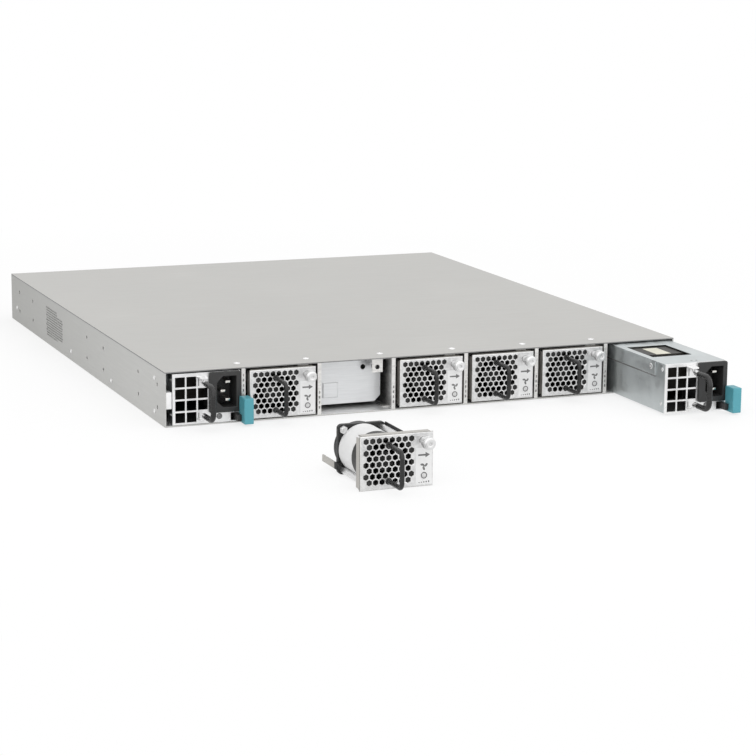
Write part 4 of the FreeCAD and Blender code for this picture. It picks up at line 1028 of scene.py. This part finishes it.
def vent_cutters(wall_x, rear):
    """Hexagon rods through the left wall, one for each cell of its honeycomb vent."""
    rods = []
    for row in range(VENT_ROWS):
        z = VENT_LOW + row * VENT_PITCH * math.sqrt(3) / 2
        first = VENT_START if row in VENT_LONG_ROWS else VENT_SHORT_START
        if row % 2:
            first += VENT_PITCH / 2
        for column in range(int((VENT_END - first) / VENT_PITCH) + 1):
            spot = Vector((wall_x - VENT_ROD_OUTSIDE, rear + first + column * VENT_PITCH, z)) * MM
            rods.append(flat_disc(spot, VENT_CELL, sides=6, lift=VENT_ROD_LENGTH, axis=X_AXIS))
    return joined(rods)


def pierce(item, cutters):
    """Take the cutters away from a piece's mesh."""
    mesh = bpy.data.meshes.new("cutters")
    cutters.to_mesh(mesh)
    cutters.free()
    holder = bpy.data.objects.new("cutters", mesh)
    bpy.context.scene.collection.objects.link(holder)
    cut = item.modifiers.new("pierce", "BOOLEAN")
    cut.operation = "DIFFERENCE"
    cut.solver = "EXACT"
    cut.object = holder
    whole = item.data
    seen = item.evaluated_get(bpy.context.evaluated_depsgraph_get())
    item.data = bpy.data.meshes.new_from_object(seen)
    item.modifiers.clear()
    round_shading(item.data)
    flat_sheets(item.data)
    bpy.data.objects.remove(holder)
    bpy.data.meshes.remove(mesh)
    bpy.data.meshes.remove(whole)


def dress_chassis():
    """Tray, cover, dividers, flaps and what stands inside."""
    dress_tray()
    dress_cover()
    dress_flap()
    for number in DIVIDERS:
        dress_divider(number)
        dress_bay_marks(number)
    repaint("raised_flaps", FLAP)
    softened_node("front_panel", WALL, width=0.2)
    repaint("port_cages", CAGE)
    repaint("main_board", BOARD)
    repaint("heat_sink", FINS)
    repaint("bay_connectors", BLACK)
    dress_cover_screws()
    dress_walls()


def dress_tray():
    """Folded tray with the vent in its left wall and a floor painted brighter than the walls as painted
    light.
    """
    tray = softened_node("chassis_base", WALL, width=0.3)
    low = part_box("chassis_base")[0]
    pierce(tray, vent_cutters(low.x / MM, low.y / MM))
    paint_faces(tray, LIT_FLOOR_ZINC, lambda face: face.normal.z > SQUARE and face.center.z < FLOOR_BELOW * MM)


def dress_walls():
    """Rivets in both side walls, and the nylon tip that guides the left supply."""
    low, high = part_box("chassis_base")
    rear = low.y / MM
    rivets = []
    for x, axis in ((low.x, -X_AXIS), (high.x, X_AXIS)):
        for depth, z in RIVETS:
            rivets.append(screw_head(Vector((x, (rear + depth) * MM, z * MM)), axis,
                                     radius=1.9, height=0.6, steps=20))
    piece("side_rivets", joined(rivets), SCREW, "chassis")
    edge = Vector((low.x / MM, rear, 0))
    guide = block(edge + GUIDE_LOW, edge + GUIDE_HIGH, width=0.3)
    piece("supply_guide_tip", guide, GUIDE, "chassis")


def dress_cover():
    """Cover with dull sheared edges all round."""
    node = "top_cover"
    sheet_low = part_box(node)[1].z - COVER_SHEET * MM
    cover = softened_node(node, COVER, width=0.15)
    paint_faces(cover, SHEARED_EDGE_AND_SHADE, lambda face: abs(face.normal.z) < ACROSS and face.center.z > sheet_low)


def dress_flap():
    """Hanging flap whose pressed bump has round edges."""
    node = "bay_flap_2"
    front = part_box(node)[0].y
    bm = merged_copy(node)
    bump = [edge for edge in bm.edges if all(abs(vert.co.y - front) < TOUCH for vert in edge.verts)]
    bevelled(bm, bump, BUMP_RADIUS, segments=4)
    soften(bm, width=0.2)
    in_place_of(node, bm, FLAP)


def dress_divider(number):
    """Divider whose tapped lug hole is painted dark inside as painted shade; on all but the first a
    blind nut stands behind it.
    """
    node = f"bay_divider_{number}"
    low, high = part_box(node)
    axis = Vector((high.x - LUG_HOLE_LEFT * MM, LUG_HOLE_HEIGHT * MM))

    # Painted shade: the walls of the lug's hole take the dark edge tone.
    def shaded_in_hole(face):
        return (face.center.xz - axis).length < LUG_HOLE_RIM * MM and abs(face.normal.y) < ACROSS

    paint_faces(softened_node(node, STRIP, width=0.15), SHEARED_EDGE_AND_SHADE, shaded_in_hole)
    if number > 1:
        nut = turned(LUG_NUT, Vector((axis.x, low.y + LUG_BACK * MM, axis.y)), Y_AXIS, steps=24)
        piece(node + "_nut", nut, SHEARED_EDGE_AND_SHADE, "chassis")


def dress_bay_marks(number):
    """Short printed bars on a divider's strip, above the supply's tab on the first."""
    node = f"bay_divider_{number}"
    low, high = (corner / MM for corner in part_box(node))
    foot = BARS_FOOT_OVER_TAB if number == 1 else BARS_FOOT
    bars = []
    for step in range(BARS):
        left = high.x - BAR_LEFT + BAR_STAGGER * (step % 2)
        bars.append(block((left, low.y - PRINT, foot),
                          (high.x - BAR_RIGHT, low.y + LET_IN, foot + BAR_HEIGHT)))
        foot += BAR_PITCH
    print_on(node + "_marks", joined(bars), "chassis")


def dress_cover_screws():
    """Domed heads along the cover's service edge: all but the first are left of their dividers."""
    low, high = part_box("cover_screws")
    half = (high.y - low.y) / 2
    first, last = low.x + half, high.x - half
    shift = COVER_SCREW_SHIFT * MM
    pitch = (last - first + shift) / (len(DIVIDERS) - 1)
    heads = []
    for number in range(len(DIVIDERS)):
        x = first + pitch * number - (shift if number else 0)
        heads.append(screw_head(Vector((x, (low.y + high.y) / 2, low.z)), Z_AXIS,
                                radius=2.8, height=0.7, steps=28))
    screws = piece("cover_screws_heads", joined(heads), SCREW, "chassis")
    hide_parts("cover_screws")


def light(name, place, aim, size, power):
    lamp = bpy.data.lights.new(name, "AREA")
    lamp.shape = "DISK"
    lamp.size = size
    lamp.energy = power
    item = bpy.data.objects.new(name, lamp)
    item.location = place
    item.rotation_euler = (Vector(aim) - Vector(place)).to_track_quat("-Z", "Y").to_euler()
    bpy.context.scene.collection.objects.link(item)


def maths(tree, operation, first, second):
    """Two factors put together by one operation."""
    node = tree.nodes.new("ShaderNodeMath")
    node.operation = operation
    tree.links.new(first, node.inputs[0])
    tree.links.new(second, node.inputs[1])
    return node.outputs[0]


def seen_directly(tree):
    """One for rays that show the background: straight, mirrored or through glass."""
    rays = tree.nodes.new("ShaderNodeLightPath").outputs
    in_air = maths(tree, "MAXIMUM", rays["Is Camera Ray"], rays["Is Glossy Ray"])
    return maths(tree, "MAXIMUM", in_air, rays["Is Transmission Ray"])


def white_surroundings():
    """Even white all round, softer where it only gives light."""
    world = bpy.data.worlds.new("studio")
    bpy.context.scene.world = world
    world.use_nodes = True
    tree = world.node_tree
    backdrop = tree.nodes["Background"]
    backdrop.inputs["Color"].default_value = (1.0, 1.0, 1.0, 1.0)
    strength = between(tree, seen_directly(tree), low=AMBIENT, high=1.0, span=(0, 1))
    tree.links.new(strength, backdrop.inputs["Strength"])


def pale_floor():
    """White sheet that keeps the shadow near the object and fades to plain white further off."""
    bm = bmesh.new()
    bmesh.ops.create_grid(bm, x_segments=1, y_segments=1, size=FLOOR_HALF,
                          matrix=Matrix.Translation((0, 0, -FLOOR_DROP)))
    mesh = bpy.data.meshes.new("floor")
    bm.to_mesh(mesh)
    bm.free()
    floor = bpy.data.objects.new("floor", mesh)
    bpy.context.scene.collection.objects.link(floor)
    material, tree, shader = tree_of("pale_floor")
    shader.inputs["Base Color"].default_value = (0.92, 0.92, 0.92, 1)
    shader.inputs["Roughness"].default_value = 0.9
    distance = tree.nodes.new("ShaderNodeVectorMath")
    distance.operation = "LENGTH"
    tree.links.new(object_coordinates(tree), distance.inputs[0])
    fade = between(tree, distance.outputs["Value"], low=FLOOR_GLOW, high=1.0, span=FLOOR_FADE)
    glow = tree.nodes.new("ShaderNodeEmission")
    mix = tree.nodes.new("ShaderNodeMixShader")
    tree.links.new(maths(tree, "MULTIPLY", seen_directly(tree), fade), mix.inputs["Fac"])
    tree.links.new(shader.outputs["BSDF"], mix.inputs[1])
    tree.links.new(glow.outputs["Emission"], mix.inputs[2])
    tree.links.new(mix.outputs["Shader"], tree.nodes["Material Output"].inputs["Surface"])
    mesh.materials.append(material)


def camera():
    """Long lens in front, to the left and a little above, slightly rolled."""
    azimuth, elevation, roll = (math.radians(angle) for angle in CAMERA_ANGLES)
    back = Vector((math.sin(azimuth) * math.cos(elevation), -math.cos(azimuth) * math.cos(elevation),
                   math.sin(elevation)))
    right = (-back).cross(Z_AXIS).normalized()
    up = back.cross(right)
    tilted_right = right * math.cos(roll) + up * math.sin(roll)
    tilted_up = up * math.cos(roll) - right * math.sin(roll)
    lens = bpy.data.cameras.new("camera")
    lens.lens = CAMERA_LENS
    lens.sensor_width = CAMERA_SENSOR
    lens.clip_end = CAMERA_FAR
    item = bpy.data.objects.new("camera", lens)
    turn = Matrix((tilted_right, tilted_up, back)).transposed().to_4x4()
    item.matrix_world = Matrix.Translation(CAMERA_PLACE) @ turn
    bpy.context.scene.collection.objects.link(item)
    bpy.context.scene.camera = item


dress_chassis()
for fan_bay in BAYS:
    dress_fan(fan_bay)
for supply_side in SIDES:
    dress_supply(supply_side)
white_surroundings()
pale_floor()
for studio_lamp in STUDIO_LAMPS:
    light(*studio_lamp)
camera()
bpy.context.scene.view_settings.view_transform = "Standard"
